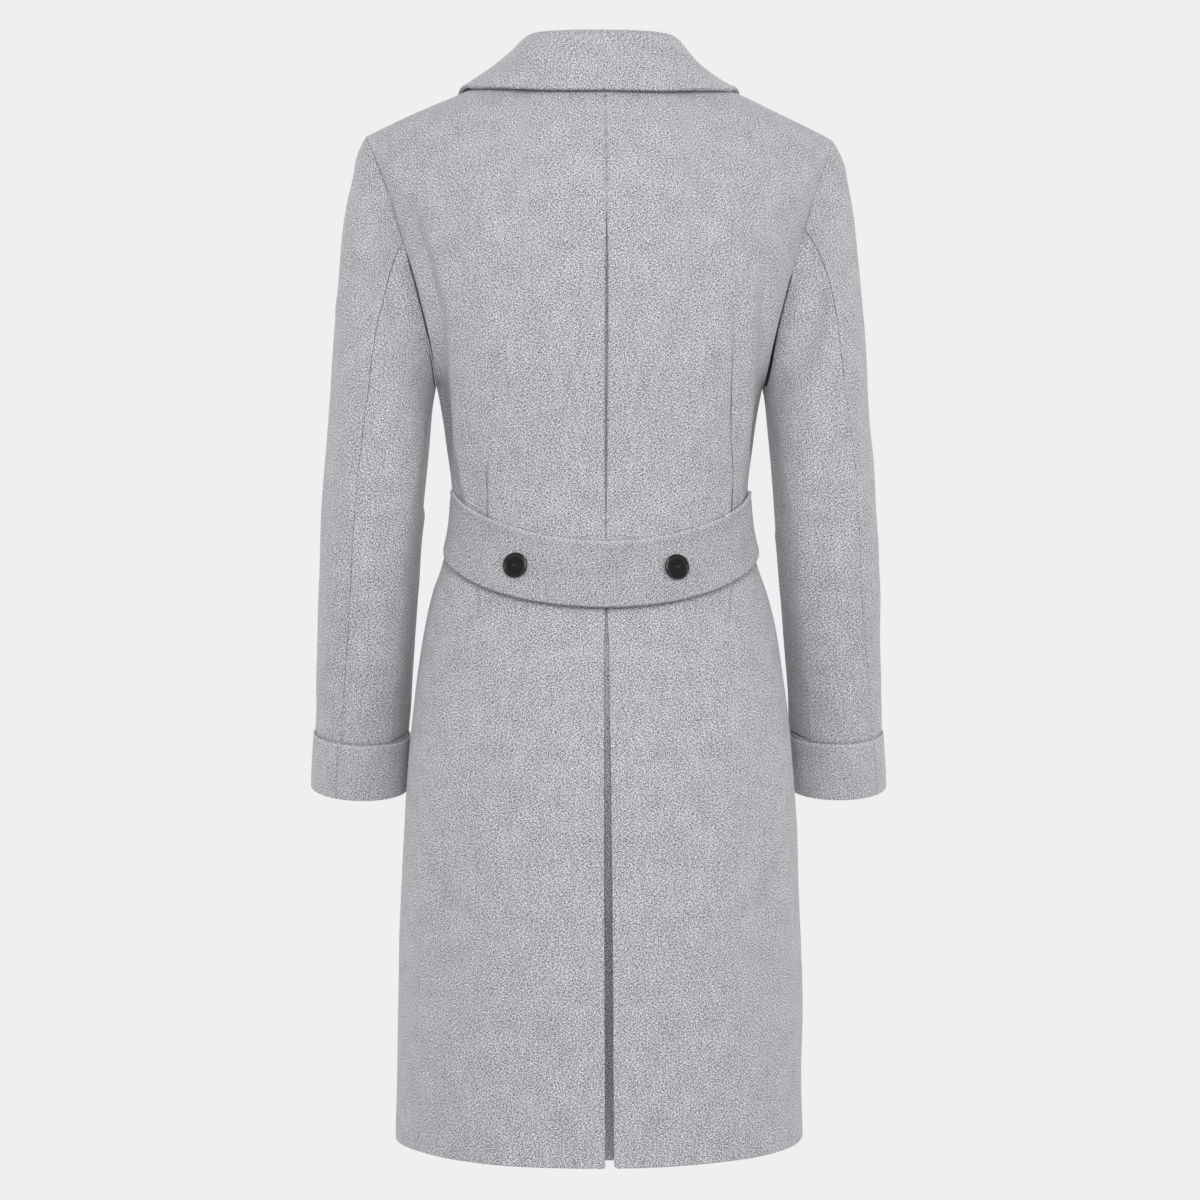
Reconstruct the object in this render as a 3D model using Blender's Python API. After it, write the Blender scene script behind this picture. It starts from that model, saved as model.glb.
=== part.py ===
"""Polo coat in light grey wool, hollow, in the shape it has when worn, with its sleeves hanging.

Metres, +Z up. The wearer faces -Y, so the back is towards +Y and +X is the wearer's left. The origin is
the middle of the neck, level with the neck seam. Each piece is a wall of cloth: a grid of points worked
out from the tables below, and the same grid moved inwards by the cloth's thickness.
"""
import bmesh
import bpy
import numpy as np

for old in list(bpy.data.objects):
    bpy.data.objects.remove(old, do_unlink=True)

WALL = 0.0025  # coating and lining together
COLLAR_WALL = 0.0040  # top collar, canvas and undercollar
BELT_WALL = 0.0036
CUFF_WALL = 0.0022
SEAM = 0.00015  # each edge stops this far from its seam line
LIE = 0.0008  # what lies on a panel is this far off it
BELT_LIE = 0.0013
FINE = 4  # points worked out for each one kept

UNDERARM = -0.300
NECK_X = 0.085  # side neck point
NECK_BACK = 0.005  # height of the neck seam at the centre back
SHOULDER_X = 0.2335
OVERLAP = 0.085  # how far each front runs past the centre
BUTTON_R = 0.0115
NECK_COLUMNS, SHOULDER_COLUMNS, FRONT_COLUMNS = 6, 10, 13

# Cross-sections: height, half-width, depth at the back, depth at the front, squareness. Above the underarm
# the half-width is that of the figure, a little wider than the armhole
BODY = (
    (-1.047, 0.2025, 0.1735, 0.1680, 2.12),
    (-0.938, 0.2015, 0.1640, 0.1590, 2.14),
    (-0.842, 0.1995, 0.1550, 0.1505, 2.16),
    (-0.770, 0.1965, 0.1475, 0.1435, 2.19),
    (-0.722, 0.1942, 0.1425, 0.1390, 2.22),
    (-0.674, 0.1912, 0.1370, 0.1340, 2.25),
    (-0.626, 0.1865, 0.1285, 0.1290, 2.28),
    (-0.578, 0.1800, 0.1225, 0.1245, 2.30),
    (-0.530, 0.1722, 0.1165, 0.1205, 2.32),
    (-0.482, 0.1595, 0.1110, 0.1170, 2.34),
    (-0.440, 0.1490, 0.1080, 0.1155, 2.38),
    (-0.405, 0.1467, 0.1080, 0.1160, 2.42),
    (-0.362, 0.1525, 0.1110, 0.1185, 2.46),
    (-0.330, 0.1575, 0.1142, 0.1215, 2.50),
    (-0.300, 0.1635, 0.1175, 0.1240, 2.50),
    (-0.270, 0.1725, 0.1202, 0.1258, 2.50),
    (-0.240, 0.1820, 0.1220, 0.1265, 2.50),
    (-0.200, 0.1930, 0.1230, 0.1268, 2.50),
    (-0.150, 0.2070, 0.1232, 0.1265, 2.50),
    (-0.100, 0.2240, 0.1230, 0.1260, 2.50),
    (-0.050, 0.2445, 0.1225, 0.1255, 2.50),
    (0.050, 0.2900, 0.1220, 0.1250, 2.50),
)

# Armhole seen from the front: height, half-width
ARMHOLE = (
    (-0.300, 0.1635),
    (-0.290, 0.1650),
    (-0.275, 0.1672),
    (-0.257, 0.1705),
    (-0.222, 0.1790),
    (-0.188, 0.1880),
    (-0.159, 0.1970),
    (-0.120, 0.2085),
    (-0.084, 0.2215),
    (-0.0537, 0.2335),
)

# Heights of the rows below the armhole, and how far up the armhole each row above it ends
ROWS = (
    -1.047, -0.950, -0.850, -0.760, -0.680, -0.620, -0.575, -0.538, -0.506,
    -0.475, -0.447, -0.419, -0.391, -0.362, -0.332, -0.300,
)
CLIMB = (0.0, 0.05, 0.13, 0.24, 0.36, 0.49, 0.62, 0.74, 0.85, 0.94, 1.0)

# Left sleeve: height, centre x, centre y, half-width, half-depth, forward tilt, back seam and front seam
# angles, both from the outermost line
SLEEVE = (
    (-0.335, 0.2190, 0.002, 0.0518, 0.0655, 0.0, 80, -105),
    (-0.374, 0.2223, 0.004, 0.0514, 0.0640, 0.0, 74, -106),
    (-0.410, 0.2250, 0.005, 0.0510, 0.0620, 1.0, 69, -108),
    (-0.458, 0.2285, 0.003, 0.0504, 0.0605, 3.0, 66, -110),
    (-0.506, 0.2313, -0.004, 0.0498, 0.0590, 6.0, 66, -110),
    (-0.554, 0.2338, -0.014, 0.0489, 0.0570, 9.0, 65, -110),
    (-0.602, 0.2372, -0.026, 0.0478, 0.0545, 11.0, 63, -110),
    (-0.640, 0.2396, -0.036, 0.0472, 0.0525, 12.0, 62, -110),
    (-0.706, 0.2440, -0.053, 0.0466, 0.0505, 12.0, 62, -110),
)
SLEEVE_CAP = 7
SLEEVE_ROWS = (-0.335, -0.374, -0.410, -0.450, -0.490, -0.530, -0.570, -0.610, -0.645, -0.675, -0.7030)
BACK_SEAM_STEP, FRONT_SEAM_STEP = 5, 3
CUFF_ROWS = (-0.6445, -0.6640, -0.6840, -0.7045)
SWAY = ((-0.720, -0.0026), (-0.640, -0.0018), (-0.480, 0.0), (0.1, 0.0))  # both sleeves hang a little to -X

# How the sleeve leaves the armhole: share of the way up, direction outwards, backwards, upwards
LEAVE = (
    (0.00, 0.10, 0.00, -1.00),
    (0.20, 0.45, 0.10, -0.85),
    (0.45, 0.66, 0.24, -0.68),
    (0.70, 0.62, 0.24, -0.72),
    (0.88, 0.45, 0.12, -0.86),
    (1.00, 0.31, 0.00, -0.95),
)

# Collar, a row each way round from the centre back: share of the way, then fold, middle of the fall and
# edge of the fall, x y z each
COLLAR = (
    (0.00, 0.0000, 0.0745, 0.0385, 0.0000, 0.0890, 0.0095, 0.0000, 0.0962, -0.0235),
    (0.15, 0.0360, 0.0680, 0.0388, 0.0440, 0.0830, 0.0095, 0.0520, 0.0905, -0.0228),
    (0.31, 0.0640, 0.0490, 0.0390, 0.0840, 0.0640, 0.0110, 0.1000, 0.0735, -0.0180),
    (0.43, 0.0740, 0.0260, 0.0386, 0.0970, 0.0340, 0.0152, 0.1285, 0.0440, -0.0118),
    (0.54, 0.0762, 0.0000, 0.0368, 0.1020, 0.0010, 0.0160, 0.1388, 0.0030, -0.0057),
    (0.68, 0.0745, -0.0420, 0.0300, 0.1060, -0.0460, 0.0060, 0.1455, -0.0480, -0.0215),
    (0.84, 0.0640, -0.0850, -0.0040, 0.1030, -0.0850, -0.0350, 0.1460, -0.0820, -0.0500),
    (1.00, 0.0490, -0.1010, -0.0470, 0.0970, -0.1060, -0.0850, 0.1350, -0.0960, -0.0730),
)
SIDE_NECK = 0.54
COLLAR_COLUMNS = 13

# Lapel seen from the front, left side: share of the way up, then its outer edge x and z
LAPEL = (
    (0.00, -0.072, -0.303),
    (0.35, 0.010, -0.262),
    (0.70, 0.092, -0.192),
    (1.00, 0.152, -0.128),
)
LAPEL_TOP = 0.80  # how far up the roll line the gorge starts

# Largest folds: 1 left or -1 right, depth, width, then the line x z from end to end
FOLDS = (
    (1, 0.0050, 0.013, ((0.172, -0.150), (0.153, -0.244), (0.149, -0.330), (0.143, -0.404))),
    (-1, 0.0035, 0.010, ((0.129, -0.200), (0.131, -0.300), (0.132, -0.420))),
    (1, 0.0030, 0.010, ((0.112, -0.375), (0.108, -0.440))),
)

BUTTON_COLUMNS = (-0.062, 0.062)
BUTTON_ROWS = (-0.335, -0.450, -0.565)
BELT_BUTTONS = ((0.0885, -0.4805), (-0.0685, -0.4820))

# Half of the opening at the centre back: height, width
PLEAT_GAP = (
    (-1.047, 0.0040),
    (-0.800, 0.0038),
    (-0.660, 0.0026),
    (-0.560, 0.0012),
    (-0.500, 0.00015),
    (-0.405, 0.00015),
    (-0.360, 0.0006),
    (-0.200, 0.0007),
    (-0.150, 0.00015),
    (0.010, 0.00015),
)


def smooth(table, at):
    """The other columns of a table, read at values of its first column on a smooth curve through its rows."""
    rows = np.array(table, float)
    x, y = rows[:, 0], rows[:, 1:]
    slope = np.gradient(y, x, axis=0)
    at = np.clip(np.asarray(at, float), x[0], x[-1])
    k = np.clip(np.searchsorted(x, at) - 1, 0, len(x) - 2)
    h = (x[k + 1] - x[k])[..., None]
    s = (at - x[k])[..., None] / h
    return (
        (1 + 2 * s) * (1 - s) ** 2 * y[k]
        + s * (1 - s) ** 2 * h * slope[k]
        + s * s * (3 - 2 * s) * y[k + 1]
        + s * s * (s - 1) * h * slope[k + 1]
    )


def ease(s):
    """From 0 to 1 with level ends."""
    s = np.clip(s, 0.0, 1.0)
    return s * s * (3 - 2 * s)


def between(marks):
    """FINE points for each step from mark to mark."""
    marks = np.array(marks, float)
    return np.interp(np.arange((len(marks) - 1) * FINE + 1) / FINE, np.arange(len(marks)), marks)


def ridge(x):
    """Height of the shoulder line."""
    x = np.abs(x)
    return 0.034 - 0.195 * x - 0.7725 * x * x


def armhole_x(z):
    return smooth(ARMHOLE, z)[..., 0]


def depth(x, z, back):
    """How far the cloth stands in front of or behind the plane of the side seams."""
    half, behind, before, power = np.moveaxis(smooth(BODY, z), -1, 0)
    across = np.clip(1 - (np.abs(x) / half) ** power, 0.0, 1.0) ** (1 / power)
    climb = np.clip((z + 0.20) / (ridge(x) + 0.20), 0.0, 1.0)
    return np.where(back, behind, before) * across * (1 - climb**2.4) ** (1 / 2.4)


def spread(points, count):
    """Points moved along their own line until they are evenly spaced."""
    run = np.concatenate([[0.0], np.cumsum(np.linalg.norm(np.diff(points[:, :3], axis=0), axis=1))])
    at = np.linspace(0.0, run[-1], count)
    return np.stack([np.interp(at, run, points[:, k]) for k in range(points.shape[1])], axis=1)


def section(z, x_from, count, back):
    """One row of a panel below the armhole, from x_from round to the side seam."""
    half = float(smooth(BODY, z)[0])
    turn = np.linspace(0.0, np.pi / 2, 400)
    x = np.concatenate([np.linspace(x_from, 0.0, 120)[:-1], half * np.sin(turn)])
    x = x[x >= x_from]
    row = np.stack([x, depth(x, np.full_like(x, z), back)], axis=1)
    return spread(row, count)


def armhole(back):
    """The armhole edge from underarm to shoulder point, left side."""
    z = UNDERARM + (ridge(SHOULDER_X) - UNDERARM) * (1 - np.cos(np.linspace(0.0, np.pi, 1200))) / 2
    x = armhole_x(z)
    y = depth(x, z, back)
    y[0] = y[-1] = 0.0
    edge = np.stack([x, y * (1 if back else -1), z], axis=1)
    run = np.concatenate([[0.0], np.cumsum(np.linalg.norm(np.diff(edge, axis=0), axis=1))])
    return np.stack([np.interp(between(CLIMB) * run[-1], run, edge[:, k]) for k in range(3)], axis=1)


def roll_line(share):
    """The front's turning edge seen from the front, from the break up to the side neck point."""
    share = np.asarray(share, float)
    bow = 0.006 * np.sin(np.pi * share)
    x = -OVERLAP + (OVERLAP + NECK_X) * share + bow
    z = UNDERARM + (ridge(NECK_X) - UNDERARM) * share - 0.5 * bow
    return np.stack([x, z], axis=-1)


def panel(back):
    """Grid of a left back or a left front: rows from the hem up, columns from the inner edge out."""
    columns = (NECK_COLUMNS + SHOULDER_COLUMNS if back else FRONT_COLUMNS) * FINE + 1
    start = 0.0 if back else -OVERLAP
    heights = between(ROWS)
    low = []
    for z in heights[:-1]:
        row = section(z, start, columns, back)
        low.append(np.stack([row[:, 0], row[:, 1], np.full(columns, z)], axis=1))
    bottom = section(UNDERARM, start, columns, back)
    bottom = np.stack([bottom[:, 0], np.full(columns, UNDERARM)], axis=1)
    arm = armhole(back)[:, [0, 2]]
    climb = between(CLIMB)
    if back:
        neck_x = np.linspace(0.0, NECK_X, NECK_COLUMNS * FINE + 1)
        neck = np.stack([neck_x, NECK_BACK + (ridge(NECK_X) - NECK_BACK) * (neck_x / NECK_X) ** 2], axis=1)
        line = np.linspace(NECK_X, SHOULDER_X, SHOULDER_COLUMNS * FINE + 1)
        top = np.concatenate([neck, np.stack([line, ridge(line)], axis=1)[1:]])
        inner = np.stack([0 * climb, UNDERARM + (NECK_BACK - UNDERARM) * climb], axis=1)
    else:
        line = np.linspace(NECK_X, SHOULDER_X, columns)
        top = np.stack([line, ridge(line)], axis=1)
        inner = roll_line(climb)
    u = np.linspace(0.0, 1.0, columns)[None, :, None]
    v = climb[:, None, None]
    flat = (1 - v) * bottom[None] + v * top[None] + (1 - u) * inner[:, None] + u * arm[:, None]
    flat -= (1 - u) * (1 - v) * bottom[0] + u * (1 - v) * bottom[-1] + (1 - u) * v * top[0] + u * v * top[-1]
    high = np.stack([flat[..., 0], depth(flat[..., 0], flat[..., 1], back), flat[..., 1]], axis=2)
    high[:, -1, 1] = np.abs(armhole(back)[:, 1])
    grid = np.concatenate([np.array(low), high])
    if not back:
        grid[..., 1] *= -1
    return grid


def normals(grid, centre, around=False):
    """Unit normals of a grid, away from centre."""
    if around:
        across = np.roll(grid, -1, axis=1) - np.roll(grid, 1, axis=1)
    else:
        across = np.gradient(grid, axis=1)
    n = np.cross(across, np.gradient(grid, axis=0))
    n /= np.maximum(np.linalg.norm(n, axis=2, keepdims=True), 1e-12)
    return n if (n * (grid - centre)).sum() > 0 else -n


def panel_normals(grid, back):
    """Normals of a panel, the same on both sides of the seams it shares."""
    n = normals(grid, np.array([0.0, 0.0, -0.4]))
    n[: len(ROWS) * FINE - FINE + 1, -1, 1] = 0.0
    top = NECK_COLUMNS * FINE if back else 0
    n[-1, top:, 1] = 0.0
    if back:
        n[:, 0, 0] = 0.0
    return n / np.linalg.norm(n, axis=2, keepdims=True)


def line_distance(x, z, line):
    """Distance from a line of points seen from the back, and the share of the way along it."""
    best, share = np.full(np.shape(x), 9.0), np.zeros(np.shape(x))
    for k in range(len(line) - 1):
        (ax, az), (bx, bz) = line[k], line[k + 1]
        dx, dz = bx - ax, bz - az
        t = np.clip(((x - ax) * dx + (z - az) * dz) / (dx * dx + dz * dz), 0.0, 1.0)
        away = np.hypot(x - ax - t * dx, z - az - t * dz)
        share = np.where(away < best, (k + t) / (len(line) - 1), share)
        best = np.minimum(away, best)
    return best, share


def fold_depth(grid, side):
    """How far the largest folds of the back sink in."""
    sink = np.zeros(grid.shape[:2])
    for where, deep, wide, line in FOLDS:
        if where == side:
            away, share = line_distance(grid[..., 0], grid[..., 2], line)
            trough = np.exp(-((away / wide) ** 2)) - 0.45 * np.exp(-(((away - 2.1 * wide) / wide) ** 2))
            sink += deep * trough * ease(share / 0.25) * ease((1 - share) / 0.2)
    edge = np.linspace(1.0, 0.0, grid.shape[1])[None, :]
    return sink * ease(edge / 0.10)


def covered(x, z):
    """1 where the front underneath has passed below the edge of the front on top, in mirrored x."""
    share = (z - UNDERARM) / (ridge(NECK_X) - UNDERARM)
    edge = np.where(share < 0, OVERLAP, -roll_line(np.clip(share, 0.0, 1.0))[..., 0])
    return ease((edge + 0.072 - x) / 0.070)


def tuck(grid):
    """How far the front underneath lies below the front on top, more where its lapel runs in between."""
    z = grid[..., 2]
    deep = 0.0036 + 0.0066 * ease((z - UNDERARM + 0.09) / 0.09)
    return deep * covered(grid[..., 0], z)


def pulled(grid, edges, amount=SEAM):
    """The grid with its named edges drawn back from their seams."""
    out = grid.copy()
    for edge in edges:
        here, there = {
            "left": ((slice(None), 0), (slice(None), 1)),
            "right": ((slice(None), -1), (slice(None), -2)),
            "low": ((0,), (1,)),
            "high": ((-1,), (-2,)),
        }[edge]
        step = grid[there] - grid[here]
        out[here] += amount * step / np.linalg.norm(step, axis=-1, keepdims=True)
    return out


def material(name, colour, roughness):
    m = bpy.data.materials.new(name)
    m.use_nodes = True
    bsdf = m.node_tree.nodes["Principled BSDF"]
    bsdf.inputs["Base Color"].default_value = (*colour, 1.0)
    bsdf.inputs["Roughness"].default_value = roughness
    bsdf.inputs["Metallic"].default_value = 0.0
    return m


WOOL = (0.46, 0.46, 0.49)
HORN = (0.02, 0.02, 0.022)


def solid(name, outer, inner, colour=WOOL, roughness=0.95, around=False, sharp=40):
    """A wall of cloth between two grids of the same size, closed along its edges."""
    rows, columns = outer.shape[:2]
    bm = bmesh.new()
    a, b = ([[bm.verts.new(p) for p in row] for row in grid] for grid in (outer, inner))
    last = columns if around else columns - 1
    for i in range(rows - 1):
        for j in range(last):
            k = (j + 1) % columns
            bm.faces.new((a[i][j], a[i][k], a[i + 1][k], a[i + 1][j]))
            bm.faces.new((b[i][j], b[i + 1][j], b[i + 1][k], b[i][k]))
    rim = [(a[i][j], a[i][(j + 1) % columns], b[i][j], b[i][(j + 1) % columns]) for i in (0, -1) for j in range(last)]
    if not around:
        rim += [(a[i][j], a[i + 1][j], b[i][j], b[i + 1][j]) for j in (0, -1) for i in range(rows - 1)]
    for p, q, low_p, low_q in rim:
        # Both sides of a seam are split along the same diagonal, from the upper outer corner
        if p.co.z - 0.3 * abs(p.co.x) < q.co.z - 0.3 * abs(q.co.x):
            p, q, low_p, low_q = q, p, low_q, low_p
        bm.faces.new((p, q, low_q))
        bm.faces.new((p, low_q, low_p))
    bmesh.ops.recalc_face_normals(bm, faces=bm.faces)
    mesh = bpy.data.meshes.new(name)
    bm.to_mesh(mesh)
    bm.free()
    mesh.shade_smooth()
    mesh.set_sharp_from_angle(angle=np.radians(sharp))
    mesh.materials.append(material(name, colour, roughness))
    obj = bpy.data.objects.new(name, mesh)
    bpy.context.collection.objects.link(obj)
    return obj


def mirrored(grid):
    return grid * np.array([-1.0, 1.0, 1.0])


def swayed(grid):
    out = grid.copy()
    out[..., 0] += np.interp(grid[..., 2], *zip(*SWAY))
    return out


def cut(grid):
    """The points that the solid keeps."""
    return grid[::FINE, ::FINE]


# Sleeve grids come first, because the panels share the direction of their walls along the armhole

def ring(z):
    """Sleeve sections at heights z as centre, across and back vectors, left side."""
    row = smooth(SLEEVE[::-1], z)
    tilt = np.radians(row[..., 4])
    centre = np.stack([row[..., 0], row[..., 1], np.asarray(z, float)], axis=-1)
    across = np.stack([row[..., 2], 0 * row[..., 2], 0.007 * np.sin(tilt)], axis=-1)
    behind = np.stack([0 * tilt, row[..., 3] * np.cos(tilt), -row[..., 3] * np.sin(tilt)], axis=-1)
    return centre, across, behind, row[..., 5], row[..., 6]


def sleeve_angles(back_seam, front_seam):
    """Angles round the sleeve: up the back of the armhole from the underarm, then down its front."""
    n = len(CLIMB) - 1
    rise = between(np.arange(n + 1))
    under = n + n - (n - BACK_SEAM_STEP) - (n - FRONT_SEAM_STEP)
    over = 2 * n - under
    per_under = (360.0 - back_seam + front_seam) / under
    per_over = (back_seam - front_seam) / over
    back_half = np.where(
        rise < BACK_SEAM_STEP,
        back_seam + (BACK_SEAM_STEP - rise) * per_under,
        back_seam - (rise - BACK_SEAM_STEP) * per_over,
    )
    down = rise[::-1]
    front_half = np.where(
        down > FRONT_SEAM_STEP,
        front_seam + (down - FRONT_SEAM_STEP) * per_over,
        front_seam - (FRONT_SEAM_STEP - down) * per_under,
    )
    return np.concatenate([back_half, front_half[1:-1]])


def ring_points(z):
    """Points round one sleeve section."""
    centre, across, behind, back_seam, front_seam = ring(z)
    turn = np.radians(sleeve_angles(float(back_seam), float(front_seam)))[:, None]
    return centre + across * np.cos(turn) + behind * np.sin(turn)


def sleeve_grid():
    """Left sleeve from the armhole down to the cuff, closed round."""
    behind, before = armhole(True), armhole(False)
    start = np.concatenate([behind, before[-2:0:-1]])
    climb = between(CLIMB)
    way = smooth(LEAVE, climb)
    out = np.concatenate([way, (way * np.array([1.0, -1.0, 1.0]))[-2:0:-1]])
    out /= np.linalg.norm(out, axis=1, keepdims=True)
    end = ring_points(SLEEVE_ROWS[0])
    down = (ring_points(SLEEVE_ROWS[0] - 0.01) - end) / 0.01
    span = np.linalg.norm(end - start, axis=1, keepdims=True)
    t = np.linspace(0.0, 1.0, SLEEVE_CAP * FINE + 1)[:, None, None]
    cap = (1 + 2 * t) * (1 - t) ** 2 * start + t * (1 - t) ** 2 * 0.9 * span * out
    cap = cap + t * t * (3 - 2 * t) * end + t * t * (t - 1) * span * down
    tube = [ring_points(z) for z in between(SLEEVE_ROWS)[1:]]
    return np.concatenate([cap, np.array(tube)])


sleeve = sleeve_grid()
sleeve_centre = np.concatenate([sleeve.mean(axis=1, keepdims=True)])
sleeve_n = normals(sleeve, sleeve_centre, around=True)
back_grid, front_grid = panel(True), panel(False)
back_n, front_n = panel_normals(back_grid, True), panel_normals(front_grid, False)

arm_rows = len(ROWS) * FINE - FINE
arm_n = np.concatenate([back_n[arm_rows:, -1], front_n[arm_rows:, -1][-2:0:-1]])
shared = arm_n + sleeve_n[0]
shared /= np.maximum(np.linalg.norm(shared, axis=1, keepdims=True), 1e-9)
agree = ease(((arm_n * sleeve_n[0]).sum(axis=1, keepdims=True) + 0.2) / 0.5)
half = int(len(arm_n) / 2)
arm_wall = arm_n * (1 - agree) + shared * agree
arm_wall /= np.linalg.norm(arm_wall, axis=1, keepdims=True)
cap_wall = sleeve_n[0] * (1 - agree) + shared * agree
sleeve_n[0] = cap_wall / np.linalg.norm(cap_wall, axis=1, keepdims=True)
back_wall, front_wall = back_n.copy(), front_n.copy()
back_wall[arm_rows:, -1] = arm_wall[: half + 1]
front_wall[arm_rows:, -1] = np.concatenate([arm_wall[:1], arm_wall[half:][::-1]])

# Backs, with the inverted pleat between them left open
for side, word in ((1, "left"), (-1, "right")):
    outer = back_grid - back_n * fold_depth(back_grid, side)[..., None]
    inner = outer - back_wall * WALL
    gap = np.interp(outer[:, 0, 2], [row[0] for row in PLEAT_GAP], [row[1] for row in PLEAT_GAP])
    outer[:, 0, 0] += gap
    inner[:, 0, 0] += gap
    grids = [pulled(cut(g), ("right", "high")) for g in (outer, inner)]
    if side < 0:
        grids = [mirrored(g) for g in grids]
    solid("back_" + word, *grids)

# Fronts: the left one on top, the right one underneath where they cross
under_front = front_grid - front_n * tuck(front_grid)[..., None]
for word, outer in (("left", front_grid), ("right", under_front)):
    inner = outer - front_wall * WALL
    grids = [pulled(cut(g), ("right", "high")) for g in (outer, inner)]
    if word == "right":
        grids = [mirrored(g) for g in grids]
    solid("front_" + word, *grids)

# Sleeves in two pieces each, parted along the back and front seams
back_column = BACK_SEAM_STEP * FINE
front_column = (2 * (len(CLIMB) - 1) - FRONT_SEAM_STEP) * FINE
around = sleeve.shape[1]
over_columns = np.arange(back_column, front_column + 1, FINE)
under_columns = np.arange(front_column, back_column + around + 1, FINE) % around
for side, word in ((1, "left"), (-1, "right")):
    for part, columns in (("top_sleeve_", over_columns), ("under_sleeve_", under_columns)):
        outer = sleeve[::FINE][:, columns]
        inner = outer - sleeve_n[::FINE][:, columns] * WALL
        grids = [pulled(g, ("left", "right", "low")) for g in (outer, inner)]
        if side < 0:
            grids = [mirrored(g) for g in grids]
        solid(part + word, *[swayed(g) for g in grids])
    bands = np.array([ring_points(z) for z in CUFF_ROWS])[:, ::FINE]
    out = normals(bands, bands.mean(axis=1, keepdims=True), around=True)
    grids = [bands + out * (0.0003 + CUFF_WALL), bands + out * 0.0003]
    if side < 0:
        grids = [mirrored(g) for g in grids]
    solid("cuff_" + word, *[swayed(g) for g in grids], around=True)


def skin(x, z, back):
    """Points and normals of the panels' outer surface at x and z."""
    sign = 1.0 if back else -1.0
    step = 0.0005
    x, z = np.asarray(x, float), np.asarray(z, float)
    y = depth(x, z, back)
    dx = (depth(x + step, z, back) - depth(x - step, z, back)) / (2 * step)
    dz = (depth(x, z + step, back) - depth(x, z - step, back)) / (2 * step)
    n = np.stack([-dx, np.ones_like(x), -dz], axis=-1)
    n /= np.linalg.norm(n, axis=-1, keepdims=True)
    flip = np.array([1.0, sign, 1.0])
    return np.stack([x, y, z], axis=-1) * flip, n * flip


def belt_grid():
    """The half belt from side seam to side seam, dipping at the centre back, on the backs' own columns."""
    columns = (NECK_COLUMNS + SHOULDER_COLUMNS) * FINE + 1
    share = np.linspace(0.0, 1.0, columns)
    dip = 1 - np.cos(share * np.pi / 2)
    rows = []
    for up in (0.0, 0.5, 1.0):
        z = (-0.5207 + 0.045 * dip) * (1 - up) + (-0.4574 + 0.049 * dip) * up
        flat = np.array([section(z[j], 0.0, columns, True)[j] for j in range(columns)])
        half_row = np.column_stack([flat, z])
        rows.append(np.concatenate([mirrored(half_row)[:0:-1], half_row]))
    return np.array(rows)


belt = belt_grid()
belt_n = normals(belt, np.array([0.0, 0.0, -0.48]))
belt_n[:, (0, -1), 1] = 0.0
belt_n /= np.linalg.norm(belt_n, axis=2, keepdims=True)
belt_lie = (BELT_LIE - 0.0006 * ease(np.abs(np.linspace(-1, 1, belt.shape[1])) * 8 - 7))[None, :, None]
belt_inner = (belt + belt_n * belt_lie)[:, ::FINE]
belt_outer = (belt + belt_n * (belt_lie + BELT_WALL))[:, ::FINE]
solid("back_belt", belt_outer, belt_inner)


def strip(name, heights, half_width, sunk, hem=0.0):
    """Underlay of the inverted pleat: close behind the panels at its sides, sunk in the middle."""
    share = np.linspace(-1.0, 1.0, 9)
    z = np.repeat(np.array(heights, float)[:, None], 9, axis=1)
    z[0] += hem
    x = share[None, :] * np.asarray(half_width, float)[:, None]
    p, n = skin(x, z, True)
    deep = WALL + LIE + np.asarray(sunk, float)[:, None] * (1 - ease(np.abs(share) * 1.25 - 0.25))[None, :]
    outer = p - n * deep[..., None]
    solid(name, outer, outer - n * WALL)


strip(
    "pleat_underlay_skirt",
    (-1.047, -0.950, -0.850, -0.760, -0.680, -0.615, -0.560, -0.530),
    (0.060, 0.059, 0.057, 0.054, 0.050, 0.046, 0.042, 0.040),
    (0.013, 0.013, 0.0125, 0.011, 0.008, 0.005, 0.002, 0.001),
    hem=0.0045,
)
strip(
    "pleat_underlay_back",
    (-0.425, -0.370, -0.320, -0.270, -0.220, -0.175, -0.140),
    (0.030, 0.034, 0.036, 0.036, 0.035, 0.033, 0.030),
    (0.0005, 0.001, 0.0015, 0.0015, 0.0015, 0.001, 0.0005),
)


def neck_edge():
    """Outer edge of the panels round the neck with the ways off it: out of the cloth, and on past the edge.
    First round the back neck, then down the front's turning edge."""
    found = []
    for grid, wall, marks in (
        (back_grid, back_wall, [(-1, j, -2, j) for j in range(NECK_COLUMNS * FINE + 1)]),
        (front_grid, front_wall, [(-1 - i, 0, -1 - i, 1) for i in range(len(CLIMB) * FINE - FINE)]),
    ):
        line = np.array([grid[i, j] for i, j, _, _ in marks])
        out = np.array([wall[i, j] for i, j, _, _ in marks])
        past = line - np.array([grid[k, m] for _, _, k, m in marks])
        past /= np.linalg.norm(past, axis=1, keepdims=True)
        found.append(np.concatenate([line, out, past], axis=1))
    stop = np.argmin(np.abs(found[1][:, 2] - roll_line(LAPEL_TOP + 0.01)[1])) + 1
    return found[0], found[1][:stop]


def lifted(points, lift):
    """Points moved out until they are at least lift off the panels."""
    x = np.abs(points[..., 0])
    z = np.minimum(points[..., 2], ridge(x) - 0.0006)
    out = points.copy()
    for back in (True, False):
        p, n = skin(x, z, back)
        n[..., 0] *= np.sign(points[..., 0] + 1e-9)
        p[..., 0] *= np.sign(points[..., 0] + 1e-9)
        off = ((points - p) * n).sum(axis=-1)
        move = np.maximum(lift - off, 0.0) * ((points[..., 1] >= 0) == back)
        out += n * move[..., None]
    return out


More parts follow.
